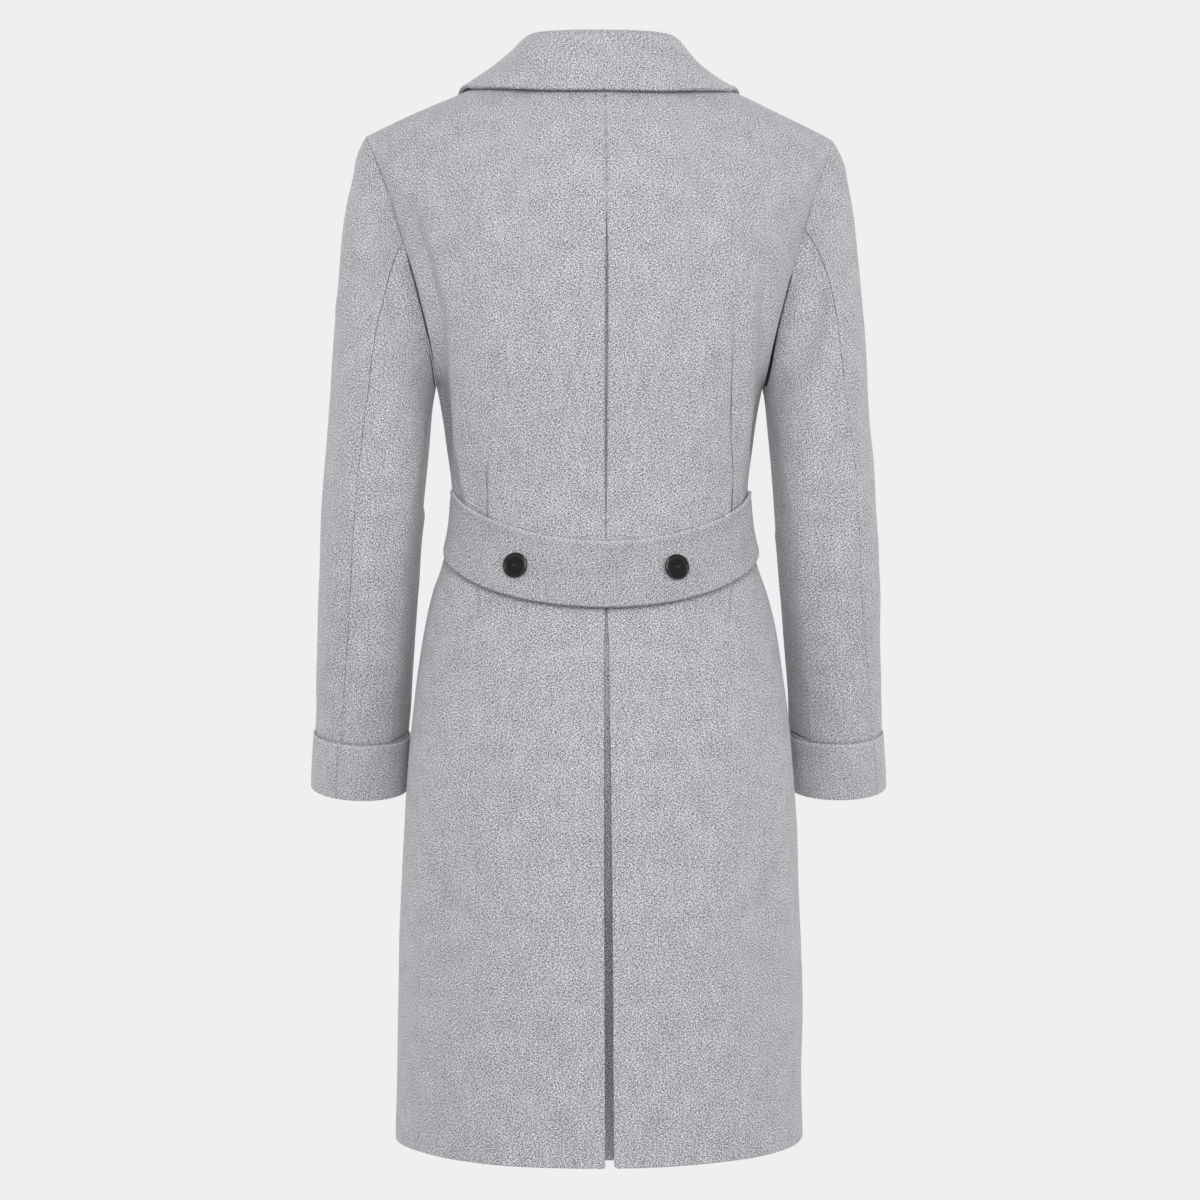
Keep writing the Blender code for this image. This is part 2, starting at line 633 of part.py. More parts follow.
def collar_grid():
    """Middle of the collar cloth: up the stand, round the fold and down the fall, left half, and half of
    the cloth's thickness."""
    columns = COLLAR_COLUMNS * FINE + 1
    share = np.linspace(0.0, 1.0, columns)
    fold, middle, edge = np.moveaxis(smooth(COLLAR, share).reshape(columns, 3, 3), 1, 0)
    neck, turn = neck_edge()
    neck, turn = spread(neck, 400), spread(turn, 400)
    run = np.where(share <= SIDE_NECK, share / SIDE_NECK, 1.0 + (share - SIDE_NECK) / (1 - SIDE_NECK))
    seam = np.concatenate([neck, turn[1:]])[np.round(run * 399).astype(int)]
    line, out, past = seam[:, :3], seam[:, 3:6], seam[:, 6:]
    square = np.cross(out, np.gradient(line, axis=0))
    square /= np.linalg.norm(square, axis=1, keepdims=True)
    past = square * np.sign((square * past).sum(axis=1, keepdims=True))
    # Towards the front end the stand dies out: its foot climbs over the turning edge and the fold flattens
    climb, cross = ease((share - 0.74) / 0.12)[:, None], ease((share - 0.84) / 0.13)[:, None]
    flat = ease((share - 0.76) / 0.24)[:, None]
    half = COLLAR_WALL / 2 * (1 - flat) + 0.0013 * flat
    bend = 0.0042 * (1 - flat) + 0.0022 * flat
    foot = line - out * (WALL / 2) + past * 0.0024 + out * 0.0034 * climb
    fold = fold * (1 - flat) + (line + out * 0.0056 + past * 0.0022) * flat
    along = np.gradient(fold, axis=0)
    down = edge - fold
    down /= np.linalg.norm(down, axis=1, keepdims=True)
    away = np.cross(down, along)
    away /= np.linalg.norm(away, axis=1, keepdims=True)
    away *= np.where((away * (fold - np.array([0.0, 0.0, -0.1]))).sum(axis=1, keepdims=True) > 0, 1.0, -1.0)
    inside = fold + 1.1 * bend * down - bend * away
    outside = fold + 1.1 * bend * down + bend * away
    foot = foot * (1 - cross) + (inside + 0.0060 * down) * cross
    marks = np.stack([foot, (foot + inside) / 2, inside, fold, outside, (outside + middle) / 2, middle, edge])
    steps = np.array([0.0, 1.0, 2.0, 2.6, 3.2, 4.2, 5.4, 7.6])
    kept = (0.0, 0.7, 1.4, 2.0, 2.3, 2.6, 2.9, 3.2, 3.8, 4.5, 5.2, 5.9, 6.5, 7.1, 7.6)
    table = np.concatenate([steps[:, None], marks.reshape(8, -1)], axis=1)
    grid = smooth(table, between(kept)).reshape(-1, columns, 3)
    fall = 7 * FINE
    grid[fall:] = lifted(grid[fall:], half[None, :, 0] + 0.0014)
    return grid, half


collar, collar_half = collar_grid()
whole = np.concatenate([mirrored(collar)[:, :0:-1], collar], axis=1)
whole_half = np.concatenate([collar_half[:0:-1], collar_half])[None]
across = np.gradient(whole, axis=1)
collar_n = np.cross(across, np.gradient(whole, axis=0))
collar_n /= np.linalg.norm(collar_n, axis=2, keepdims=True)
if collar_n[-1, collar.shape[1], 1] < 0:
    collar_n = -collar_n
solid("collar", cut(whole + collar_n * whole_half), cut(whole - collar_n * whole_half))


def lapel(right):
    """A lapel turned back onto its front, from the break up to the gorge."""
    rows, columns = 12, 7
    share = np.linspace(0.0, 1.0, rows + 1)
    inner = roll_line(share * LAPEL_TOP)
    outer = smooth(LAPEL, share)
    u = np.linspace(0.0, 1.0, columns + 1)[None, :, None]
    flat = inner[:, None] * (1 - u) + outer[:, None] * u
    flat[..., 0] += 0.0004
    p, n = skin(flat[..., 0], flat[..., 1], False)
    if right:
        p = p - n * tuck(p)[..., None]
    lie = LIE + (0.0027 * ease(tuck(p) / 0.0012) if right else 0 * flat[..., 0])
    low = p + n * lie[..., None]
    high = low + n * WALL
    low, high = (pulled(g, ("high",), 0.0006) for g in (low, high))
    return (mirrored(high), mirrored(low)) if right else (high, low)


solid("lapel_left", *lapel(False))
solid("lapel_right", *lapel(True))


def button(name, place, out, radius=BUTTON_R):
    """A turned button with a raised rim, its back towards the cloth."""
    profile = np.array([(0.0, 0.0022), (0.62, 0.0022), (0.74, 0.0030), (0.90, 0.0034), (1.0, 0.0024), (0.96, 0.0008), (0.80, 0.0)])
    out = np.array(out) / np.linalg.norm(out)
    side = np.cross(out, (0.0, 0.0, 1.0))
    side /= np.linalg.norm(side)
    up = np.cross(side, out)
    bm = bmesh.new()
    count = 20
    rings = []
    for share, lift in profile[1:]:
        turn = 2 * np.pi * np.arange(count) / count
        line = [place + radius * share * (np.cos(a) * side + np.sin(a) * up) + lift * out for a in turn]
        rings.append([bm.verts.new(p) for p in line])
    for a, b in zip(rings, rings[1:]):
        for j in range(count):
            bm.faces.new((a[j], b[j], b[(j + 1) % count], a[(j + 1) % count]))
    bm.faces.new(rings[0])
    bm.faces.new(rings[-1][::-1])
    bmesh.ops.recalc_face_normals(bm, faces=bm.faces)
    mesh = bpy.data.meshes.new(name)
    bm.to_mesh(mesh)
    bm.free()
    mesh.shade_smooth()
    mesh.set_sharp_from_angle(angle=np.radians(40))
    mesh.materials.append(material(name, HORN, 0.22))
    bpy.context.collection.objects.link(bpy.data.objects.new(name, mesh))


for k, (x, z) in enumerate(BELT_BUTTONS):
    p, n = skin(x, z, True)
    button("belt_button_" + ("left", "right")[k], p + n * (BELT_LIE + BELT_WALL + 0.0006), n)
for row, z in enumerate(BUTTON_ROWS):
    for column, x in enumerate(BUTTON_COLUMNS):
        p, n = skin(x, z, False)
        button("front_button_%d%s" % (row + 1, ("a", "b")[column]), p + n * 0.0008, n)
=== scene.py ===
"""Looks of a double-breasted polo coat in light grey melange wool, standing as if worn.

Metres, +Z up. The wearer faces -Y and +X is the wearer's left, so the back is towards +Y. The cloth pieces
are walls worked out on fine grids from the same sizes as the frame's solids, with the creases, sewn edges
and turned edges that the solids leave out.
"""

import bpy
import numpy as np
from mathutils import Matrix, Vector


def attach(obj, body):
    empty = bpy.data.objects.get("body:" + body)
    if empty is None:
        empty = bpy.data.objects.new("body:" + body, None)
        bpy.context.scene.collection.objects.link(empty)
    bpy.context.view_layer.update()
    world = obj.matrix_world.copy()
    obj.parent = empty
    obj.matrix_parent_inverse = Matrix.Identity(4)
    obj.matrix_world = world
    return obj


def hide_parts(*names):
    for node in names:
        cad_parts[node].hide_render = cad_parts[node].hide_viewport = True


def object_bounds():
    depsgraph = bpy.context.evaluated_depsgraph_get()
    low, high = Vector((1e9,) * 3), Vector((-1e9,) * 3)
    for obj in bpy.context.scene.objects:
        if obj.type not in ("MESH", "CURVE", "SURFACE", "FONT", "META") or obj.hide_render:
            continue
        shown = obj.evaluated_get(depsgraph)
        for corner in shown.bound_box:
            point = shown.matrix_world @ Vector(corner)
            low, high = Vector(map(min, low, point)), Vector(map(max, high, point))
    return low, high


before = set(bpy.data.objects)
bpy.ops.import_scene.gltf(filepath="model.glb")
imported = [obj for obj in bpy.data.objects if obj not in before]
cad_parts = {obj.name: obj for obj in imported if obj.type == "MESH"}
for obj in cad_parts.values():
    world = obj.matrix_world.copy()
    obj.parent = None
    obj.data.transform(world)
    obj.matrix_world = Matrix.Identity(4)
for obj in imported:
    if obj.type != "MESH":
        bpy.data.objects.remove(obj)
CAD_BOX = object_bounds()

# Studio: a pale floor under a pale surround and soft boxes all round, the strongest high behind the coat and
# in front of it. The camera stands behind the coat, level with its middle.
CAMERA_TURN, CAMERA_AWAY, CAMERA_HEIGHT = 183.0, 2.75, -0.514
LENS, SENSOR = 82.5, 36.0
PALE = (0.863, 0.863, 0.863)
FLOOR_DROP, FLOOR_REACH = 0.45, 40.0
AMBIENT = (0.50, 0.50, 0.50)  # what the surround gives as light, less than it shows
SOFT_BOXES = (
    ("key_light", 48.0, 0.0, 20.0, 1.5),
    ("side_light_left", 14.0, 62.0, 8.0, 1.8),
    ("side_light_right", 20.0, -62.0, 8.0, 1.8),
    ("front_light", 48.0, 180.0, 20.0, 1.5),
    ("front_side_left", 14.0, 118.0, 8.0, 1.8),
    ("front_side_right", 14.0, -118.0, 8.0, 1.8),
)  # name, watts, degrees round from the camera, degrees up, size
BOX_AWAY = 3.2


def placed(name, data):
    """A new object of the scene."""
    made = bpy.data.objects.new(name, data)
    bpy.context.collection.objects.link(made)
    return made


def new_look(name):
    """A new material, with its node tree and its shader."""
    material = bpy.data.materials.new(name)
    material.use_nodes = True
    return material, material.node_tree, material.node_tree.nodes["Principled BSDF"]


turn = np.radians(CAMERA_TURN)
behind = np.array([-np.sin(turn), -np.cos(turn), 0.0])
camera = placed("camera", bpy.data.cameras.new("camera"))
camera.data.lens, camera.data.sensor_width = LENS, SENSOR
camera.location = behind * CAMERA_AWAY + np.array([0.0, 0.0, CAMERA_HEIGHT])
camera.rotation_euler = (np.pi / 2, 0.0, -turn)
bpy.context.scene.camera = camera
bpy.context.scene.view_settings.view_transform = "Standard"

surround = bpy.data.worlds.new("surround")
surround.use_nodes = True
nodes, links = surround.node_tree.nodes, surround.node_tree.links
seen, path = nodes.new("ShaderNodeMix"), nodes.new("ShaderNodeLightPath")
seen.data_type = "RGBA"
seen.inputs[6].default_value, seen.inputs[7].default_value = (*AMBIENT, 1.0), (*PALE, 1.0)
links.new(path.outputs["Is Camera Ray"], seen.inputs[0])
links.new(seen.outputs[2], nodes["Background"].inputs["Color"])
bpy.context.scene.world = surround

floor_z = CAD_BOX[0][2] - FLOOR_DROP
corners = [(x * FLOOR_REACH, y * FLOOR_REACH, floor_z) for x, y in ((-1, -1), (1, -1), (1, 1), (-1, 1))]
floor = placed("floor", bpy.data.meshes.new("floor"))
floor.data.from_pydata(corners, [], [(0, 1, 2, 3)])
paper, _, shader = new_look("floor_paper")
shader.inputs["Base Color"].default_value = (0.0, 0.0, 0.0, 1.0)
shader.inputs["Roughness"].default_value = 1.0
shader.inputs["Specular IOR Level"].default_value = 0.0
shader.inputs["Emission Color"].default_value = (*PALE, 1.0)
shader.inputs["Emission Strength"].default_value = 1.0
floor.data.materials.append(paper)
floor.visible_diffuse = False


def soft_box(name, watts, swing, rise, size):
    """A square light aimed at the coat's middle, swing degrees round from the camera and rise degrees up."""
    lamp = placed(name, bpy.data.lights.new(name, "AREA"))
    lamp.data.energy, lamp.data.size = watts, size
    round_to, up = turn + np.radians(swing), np.radians(rise)
    level = np.array([-np.sin(round_to), -np.cos(round_to), 0.0]) * np.cos(up)
    lamp.location = (level + np.array([0.0, 0.0, np.sin(up)])) * BOX_AWAY + np.array([0.0, 0.0, CAMERA_HEIGHT])
    lamp.rotation_euler = (np.pi / 2 - up, 0.0, -round_to)


for box in SOFT_BOXES:
    soft_box(*box)

# Backs: two panels of brushed wool coating, cut from one cloth and sewn down the centre back to the pleat,
# along the side seams, shoulders and armholes. Everything else is set on them.
SIDES = {1: "left", -1: "right"}
MM = 0.001
WALL = 0.0025
SEAM = 0.0001  # each sewn edge stops this far from its seam line
SEAM_ROUND = 0.0006  # how far from the seam the cloth starts to roll in
UNDERARM = -0.300
NECK_X, NECK_BACK, SHOULDER_X = 0.085, 0.005, 0.2335
NECK_PART = 6.0 / 16.0  # share of the back's width at the top that the neck takes
OVERLAP = 0.085  # how far each front runs past the centre
HEM = -1.047

# Height, half-width, depth at the back, depth at the front, squareness of each section
BODY = (
    (-1.047, 0.2025, 0.1735, 0.1680, 2.12),
    (-0.938, 0.2015, 0.1640, 0.1590, 2.14),
    (-0.842, 0.1995, 0.1550, 0.1505, 2.16),
    (-0.770, 0.1965, 0.1475, 0.1435, 2.19),
    (-0.722, 0.1942, 0.1425, 0.1390, 2.22),
    (-0.674, 0.1912, 0.1370, 0.1340, 2.25),
    (-0.626, 0.1865, 0.1285, 0.1290, 2.28),
    (-0.578, 0.1800, 0.1225, 0.1245, 2.30),
    (-0.530, 0.1722, 0.1165, 0.1205, 2.32),
    (-0.506, 0.1665, 0.1136, 0.1187, 2.33),
    (-0.482, 0.1584, 0.1110, 0.1170, 2.34),
    (-0.440, 0.1503, 0.1080, 0.1155, 2.38),
    (-0.405, 0.1480, 0.1080, 0.1160, 2.42),
    (-0.362, 0.1530, 0.1110, 0.1185, 2.46),
    (-0.330, 0.1575, 0.1142, 0.1215, 2.50),
    (-0.300, 0.1635, 0.1175, 0.1240, 2.50),
    (-0.270, 0.1725, 0.1202, 0.1258, 2.50),
    (-0.240, 0.1820, 0.1220, 0.1265, 2.50),
    (-0.200, 0.1930, 0.1230, 0.1268, 2.50),
    (-0.150, 0.2070, 0.1232, 0.1265, 2.50),
    (-0.100, 0.2240, 0.1230, 0.1260, 2.50),
    (-0.050, 0.2445, 0.1225, 0.1255, 2.50),
    (0.050, 0.2900, 0.1220, 0.1250, 2.50),
)

# Height and half-width of the armhole seen from the front
ARMHOLE = (
    (-0.300, 0.1635),
    (-0.290, 0.1650),
    (-0.275, 0.1672),
    (-0.257, 0.1705),
    (-0.222, 0.1790),
    (-0.188, 0.1880),
    (-0.159, 0.1970),
    (-0.120, 0.2085),
    (-0.084, 0.2215),
    (-0.0537, 0.2335),
)

# Height and half-width of the opening at the centre back, sewn shut above and under the half belt
PLEAT_GAP = (
    (-1.047, 0.0041),
    (-0.800, 0.0039),
    (-0.662, 0.0030),
    (-0.612, 0.0026),
    (-0.582, 0.0025),
    (-0.561, 0.0022),
    (-0.539, 0.0015),
    (-0.515, 0.0009),
    (-0.500, 0.0001),
    (-0.425, 0.0001),
    (-0.405, 0.0005),
    (-0.360, 0.0008),
    (-0.200, 0.0009),
    (-0.150, 0.0001),
    (0.010, 0.0001),
)
PLEAT_TOP, PLEAT_FOOT = -0.150, -0.500  # the pleat is open below these, the first down to the belt

# Creases on the left back and on the right, in mm: kind, depth, width, then x and z of each point of the
# line from its upper to its lower end. A lap is a tuck whose inner side lies over its outer side; a fold
# is a ridge with a hollow on its outer side
BACK_CREASES = {
    1: (
        ("fold", 8.5, 6.8, 190, -120, 176, -155, 156, -235, 152, -300, 149, -360, 145, -415),
        ("lap", 3.2, 8, 113, -372, 113.6, -396, 113.8, -425, 113, -448),
        ("trough", 3, 10, 124, -398, 126, -428, 126, -462),
        ("trough", 4, 3.2, 146.6, -365, 144.3, -395, 140.3, -418, 138.5, -436),
        ("lap", 1.5, 7, 123.5, -498, 122.6, -512, 122.2, -530),
        ("trough", 1.8, 16, 90, -200, 83, -300, 85, -420),
        ("trough", -1.4, 20, 60, -540, 66, -700, 60, -980),
        ("trough", 2, 18, 132, -560, 144, -700, 148, -960),
        ("trough", 1.6, 10, 40, -385, 30, -425, 24, -452),
    ),
    -1: (
        ("lap", 6.2, 10, 123.5, -190, 123.6, -300, 124, -358, 126.6, -390, 125.8, -425, 124.8, -450),
        ("trough", 4.6, 8, 156, -170, 158, -240, 157, -330, 152, -390),
        ("trough", -1.8, 7, 142, -200, 145, -290, 142, -400),
        ("lap", 1.5, 7, 124.5, -495, 122.5, -510, 121.2, -535),
        ("trough", 1.8, 16, 72, -215, 66, -310, 70, -430),
        ("trough", 1.6, 22, 78, -560, 74, -760, 82, -1000),
        ("trough", 2, 18, 140, -570, 150, -720, 152, -980),
        ("trough", 1.4, 10, 52, -395, 36, -430, 28, -452),
    ),
}
# The column of close points that follows each back's laps: z and x in mm, from the hem to the shoulder
FOLLOW = {
    1: ((-1047, 120), (-530, 122.2), (-498, 123.5), (-448, 113), (-425, 113.8), (-396, 113.6), (-372, 113), (34, 95)),
    -1: (
        (-1047, 118), (-535, 121.2), (-495, 124.5), (-450, 124.8), (-425, 125.8), (-390, 126.6), (-358, 124),
        (-190, 123.5), (34, 110),
    ),
}


def smooth(table, at):
    """The other columns of a table at values of its first, on cubic pieces that share their slopes."""
    rows = np.array(table, float)
    x, y = rows[:, 0], rows[:, 1:]
    slope = np.gradient(y, x, axis=0)
    at = np.clip(np.asarray(at, float), x[0], x[-1])
    k = np.clip(np.searchsorted(x, at) - 1, 0, len(x) - 2)
    h = (x[k + 1] - x[k])[..., None]
    s = (at - x[k])[..., None] / h
    ends = (1 + 2 * s) * (1 - s) ** 2 * y[k] + s * s * (3 - 2 * s) * y[k + 1]
    return ends + s * (1 - s) ** 2 * h * slope[k] + s * s * (s - 1) * h * slope[k + 1]


def ease(s):
    """From 0 to 1 with level ends."""
    s = np.clip(s, 0.0, 1.0)
    return s * s * (3 - 2 * s)


def bell(away, wide):
    """1 at nought, falling off evenly on both sides: exp(-(away / wide)^2)."""
    return np.exp(-((away / wide) ** 2))


def unit(v):
    return v / np.maximum(np.linalg.norm(v, axis=-1, keepdims=True), 1e-12)


def spaced(start, stop, step, tight=(True, True)):
    """Places from start to stop about a step apart, closing up within 7 mm of a tight end."""
    near = np.array([0.0, 0.00015, 0.0004, 0.0007, 0.0011, 0.0017, 0.0026, 0.0040, 0.0065])
    low = start + (near if tight[0] else near[:1])
    high = stop - (near if tight[1] else near[:1])[::-1]
    count = max(2, round((high[0] - low[-1]) / step))
    return np.concatenate([low, np.linspace(low[-1], high[0], count + 1)[1:-1], high])


def along(points, share, measured=3):
    """A line of points at shares of its length, which its first columns measure, with all its columns."""
    steps = np.linalg.norm(np.diff(points[:, :measured], axis=0), axis=1)
    run = np.concatenate([[0.0], np.cumsum(steps)])
    return np.stack([np.interp(share * run[-1], run, column) for column in points.T], axis=-1)


def ridge(x):
    """Height of the shoulder line."""
    x = np.abs(x)
    hollow = np.sin(np.pi * np.clip((x - NECK_X) / (SHOULDER_X - NECK_X), 0.0, 1.0))
    return 0.034 - 0.195 * x - 0.7725 * x * x - 0.0034 * hollow


def depth(x, z, back):
    """How far the cloth stands off the plane of the side seams: a section |x|^p + |y|^p = 1, closed over the
    shoulders by the same kind of curve in z."""
    half, behind_it, before, power = np.moveaxis(smooth(BODY, z), -1, 0)
    across = np.clip(1 - (np.abs(x) / half) ** power, 0.0, 1.0) ** (1 / power)
    climb = np.clip((z + 0.20) / (ridge(x) + 0.20), 0.0, 1.0)
    return np.where(back, behind_it, before) * across * (1 - climb**2.4) ** (1 / 2.4)


def armhole(back, climb):
    """The armhole edge at shares of its length, from underarm to shoulder point, left side."""
    z = UNDERARM + (ridge(SHOULDER_X) - UNDERARM) * (1 - np.cos(np.linspace(0.0, np.pi, 1200))) / 2
    x = smooth(ARMHOLE, z)[..., 0]
    y = depth(x, z, back)
    y[0] = y[-1] = 0.0
    return along(np.stack([x, y * (1 if back else -1), z], axis=1), climb)


def roll_line(share):
    """The front's turning edge seen from the front, from the break up to the side neck point."""
    share = np.asarray(share, float)
    bow = 0.006 * np.sin(np.pi * share)
    x = -OVERLAP + (OVERLAP + NECK_X) * share + bow
    return np.stack([x, UNDERARM + (ridge(NECK_X) - UNDERARM) * share - 0.5 * bow], axis=-1)


def section(z, start, share, back):
    """A row below the armhole at shares of its length from x = start round to the side seam."""
    half = float(smooth(BODY, z)[0])
    x = np.concatenate([np.linspace(start, 0.0, 120)[:-1], half * np.sin(np.linspace(0.0, np.pi / 2, 500))])
    x = x[x >= start]
    return along(np.stack([x, depth(x, np.full_like(x, z), back)], axis=1), share)


def top_edge(back, share):
    """Neck and shoulder edge of a back, or shoulder edge of a front, seen from the front."""
    if back:
        near = NECK_X * share / NECK_PART
        far = NECK_X + (SHOULDER_X - NECK_X) * (share - NECK_PART) / (1 - NECK_PART)
        neck_z = NECK_BACK + (ridge(NECK_X) - NECK_BACK) * (near / NECK_X) ** 2
        on_neck = share < NECK_PART
        return np.stack([np.where(on_neck, near, far), np.where(on_neck, neck_z, ridge(far))], axis=-1)
    x = NECK_X + (SHOULDER_X - NECK_X) * share
    return np.stack([x, ridge(x)], axis=-1)


def runs(grid):
    """Distances along each row and up each column from their first points."""
    across = np.cumsum(np.linalg.norm(np.diff(grid, axis=1, prepend=grid[:, :1]), axis=2), axis=1)
    return across, np.cumsum(np.linalg.norm(np.diff(grid, axis=0, prepend=grid[:1]), axis=2), axis=0)


def patch(back, u, v):
    """Points of a left panel above the underarm at shares u across and v up: the patch between its four
    curved edges, seen from the front, set at the cloth's depth."""
    ends = np.array([0.0, 1.0])
    start = 0.0 if back else -OVERLAP
    foot, corner = section(UNDERARM, start, ends, back)[:, 0], top_edge(back, ends)
    bottom = section(UNDERARM, start, u.ravel(), back)[:, 0].reshape(u.shape)
    bottom = np.stack([bottom, np.full(u.shape, UNDERARM)], axis=-1)
    inner = np.stack([0 * v, UNDERARM + (NECK_BACK - UNDERARM) * v], axis=-1) if back else roll_line(v)
    arm = armhole(back, v)[..., [0, 2]]
    u, v, top = u[..., None], v[..., None], top_edge(back, u)
    flat = (1 - v) * bottom + v * top + (1 - u) * inner + u * arm
    flat = flat - (1 - u) * (1 - v) * np.array([foot[0], UNDERARM]) - u * (1 - v) * np.array([foot[1], UNDERARM])
    flat = flat - (1 - u) * v * corner[0] - u * v * corner[1]
    return np.stack([flat[..., 0], depth(flat[..., 0], flat[..., 1], back), flat[..., 1]], axis=-1)


CLIMB_COLUMNS = np.linspace(0.0, 1.0, 33)


def climbing(back, climb):
    """Shares v up the patch that lie at equal shares of each column's own length. The cloth turns level at
    the shoulder, so that the last hair's breadth of height is centimetres of cloth."""
    v = np.tile(1 - (1 - np.linspace(0.0, 1.0, 500)[:, None]) ** 3, CLIMB_COLUMNS.shape)
    up = runs(patch(back, np.tile(CLIMB_COLUMNS, (500, 1)), v))[1]
    return np.stack([np.interp(climb * up[-1, k], up[:, k], v[:, k]) for k in range(len(CLIMB_COLUMNS))], axis=1)


def panel(back, heights, climb, shares):
    """Grid of a left panel: level rows at the heights, then rows that climb the armhole. shares gives each
    row's places across."""
    start = 0.0 if back else -OVERLAP
    low = []
    for z, share in zip(heights, shares):
        row = section(z, start, share, back)
        low.append(np.stack([row[:, 0], row[:, 1], np.full(len(share), z)], axis=1))
    u = shares[len(heights) :]
    v = np.array([np.interp(row, CLIMB_COLUMNS, known) for row, known in zip(u, climbing(back, climb))])
    high = patch(back, u, v)
    grid = np.concatenate([np.array(low).reshape(-1, *high.shape[1:]), high])
    if not back:
        grid[..., 1] *= -1
    return grid


def following(back, heights, climb, places, middle, line):
    """Places across for each row, stretched so that the place called middle falls on the line z x."""
    coarse = np.tile(np.linspace(0.0, 1.0, 61), (len(heights) + len(climb), 1))
    rough = panel(back, heights, climb, coarse)
    want = np.interp(rough[:, 30, 2], *(MM * np.transpose(line)))
    at = np.array([np.interp(w, row, c) for w, row, c in zip(want, rough[..., 0], coarse)])[:, None]
    p = places[None, :]
    return np.where(p < middle, p * at / middle, 1 - (1 - p) * (1 - at) / (1 - middle))


def normals(grid, centre, around=False):
    """Unit normals of a grid, away from centre."""
    if around:
        across = np.roll(grid, -1, axis=1) - np.roll(grid, 1, axis=1)
    else:
        across = np.gradient(grid, axis=1)
    n = unit(np.cross(across, np.gradient(grid, axis=0)))
    return n if (n * (grid - centre)).sum() > 0 else -n


def line_distance(x, z, line):
    """Distance from a line of points, the side it is on, and the share of the way along it."""
    best, share, side = np.full(np.shape(x), 9.0), np.zeros(np.shape(x)), np.ones(np.shape(x))
    for k, ((ax, az), (bx, bz)) in enumerate(zip(line[:-1], line[1:])):
        dx, dz = bx - ax, bz - az
        t = np.clip(((x - ax) * dx + (z - az) * dz) / (dx * dx + dz * dz), 0.0, 1.0)
        away = np.hypot(x - ax - t * dx, z - az - t * dz)
        closer = away < best
        share = np.where(closer, (k + t) / (len(line) - 1), share)
        side = np.where(closer, np.sign(dx * (z - az) - dz * (x - ax)), side)
        best = np.minimum(away, best)
    return best, side, share


def in_metres(creases):
    """Each crease's kind, depth, width and line of points."""
    for kind, deep, wide, *line in creases:
        yield kind, deep * MM, wide * MM, np.reshape(line, (-1, 2)) * MM


def creased(x, z, creases):
    """How far creases lift the cloth. A trough is a bell with a lower ridge on each side. A lap falls
    across its line and eases back on both sides."""
    lift = np.zeros(np.shape(x))
    for kind, deep, wide, line in in_metres(creases):
        away, side, share = line_distance(x, z, line)
        if kind == "lap":
            shape = -0.3 * np.tanh(side * away / 0.0012) * np.exp(-away / wide)
            lift += deep * shape * ease(share / 0.45) * ease((1 - share) / 0.04 + 0.4)
        elif kind == "fold":
            out = side * away
            shape = 0.32 * bell(out + wide, 1.3 * wide) - bell(out - wide, 1.05 * wide)
            lift += deep * shape * ease(share / 0.30) * ease((1 - share) / 0.25)
        else:
            shape = bell(away, wide) - 0.45 * bell(away - 2.1 * wide, wide)
            lift -= deep * shape * ease(share / 0.25) * ease((1 - share) / 0.2)
    return lift


def clefts(x, z, creases):
    """How deep the narrow clefts along the laps' lines go: a steep bell a millimetre wide."""
    deep = np.zeros(np.shape(x))
    for kind, height, _, line in in_metres(creases):
        if kind == "lap":
            away, _, share = line_distance(x, z, line)
            deep += height * bell(away, 0.0009) * ease(share / 0.45)
    return deep


def rumple(u, v, seed, size, height):
    """Slow unevenness of worn cloth: twelve waves of seeded direction, length and start, size long or more."""
    rng = np.random.default_rng(seed)
    total = np.zeros(np.shape(u))
    for _ in range(12):
        way, length, start = rng.uniform(0, np.pi), size * rng.uniform(1.0, 2.6), rng.uniform(0, 2 * np.pi)
        total += np.sin(2 * np.pi * (u * np.cos(way) + v * np.sin(way)) / length + start) * length / size
    return total * height / 6.0


def mesh_of(name, rows, flip, cloth, shade, material):
    """An object from rows of grids of vertex numbers and points, with a cloth UV map in metres."""
    points, faces, uvs = rows
    mesh = bpy.data.meshes.new(name)
    mesh.vertices.add(len(points))
    mesh.vertices.foreach_set("co", points.ravel())
    if flip:
        faces, uvs = faces[:, ::-1], uvs[:, ::-1]
    mesh.loops.add(faces.size)
    mesh.loops.foreach_set("vertex_index", faces.ravel())
    mesh.polygons.add(len(faces))
    mesh.polygons.foreach_set("loop_start", np.arange(len(faces)) * 4)
    mesh.uv_layers.new(name="cloth").data.foreach_set("uv", uvs.ravel())
    # The sewn attribute carries the shade and highlights painted into the cloth's colour
    mesh.attributes.new("sewn", "FLOAT", "POINT").data.foreach_set("value", shade.astype(np.float32))
    mesh.update(calc_edges=True)
    mesh.shade_smooth()
    mesh.materials.append(material)
    return placed(name, mesh)


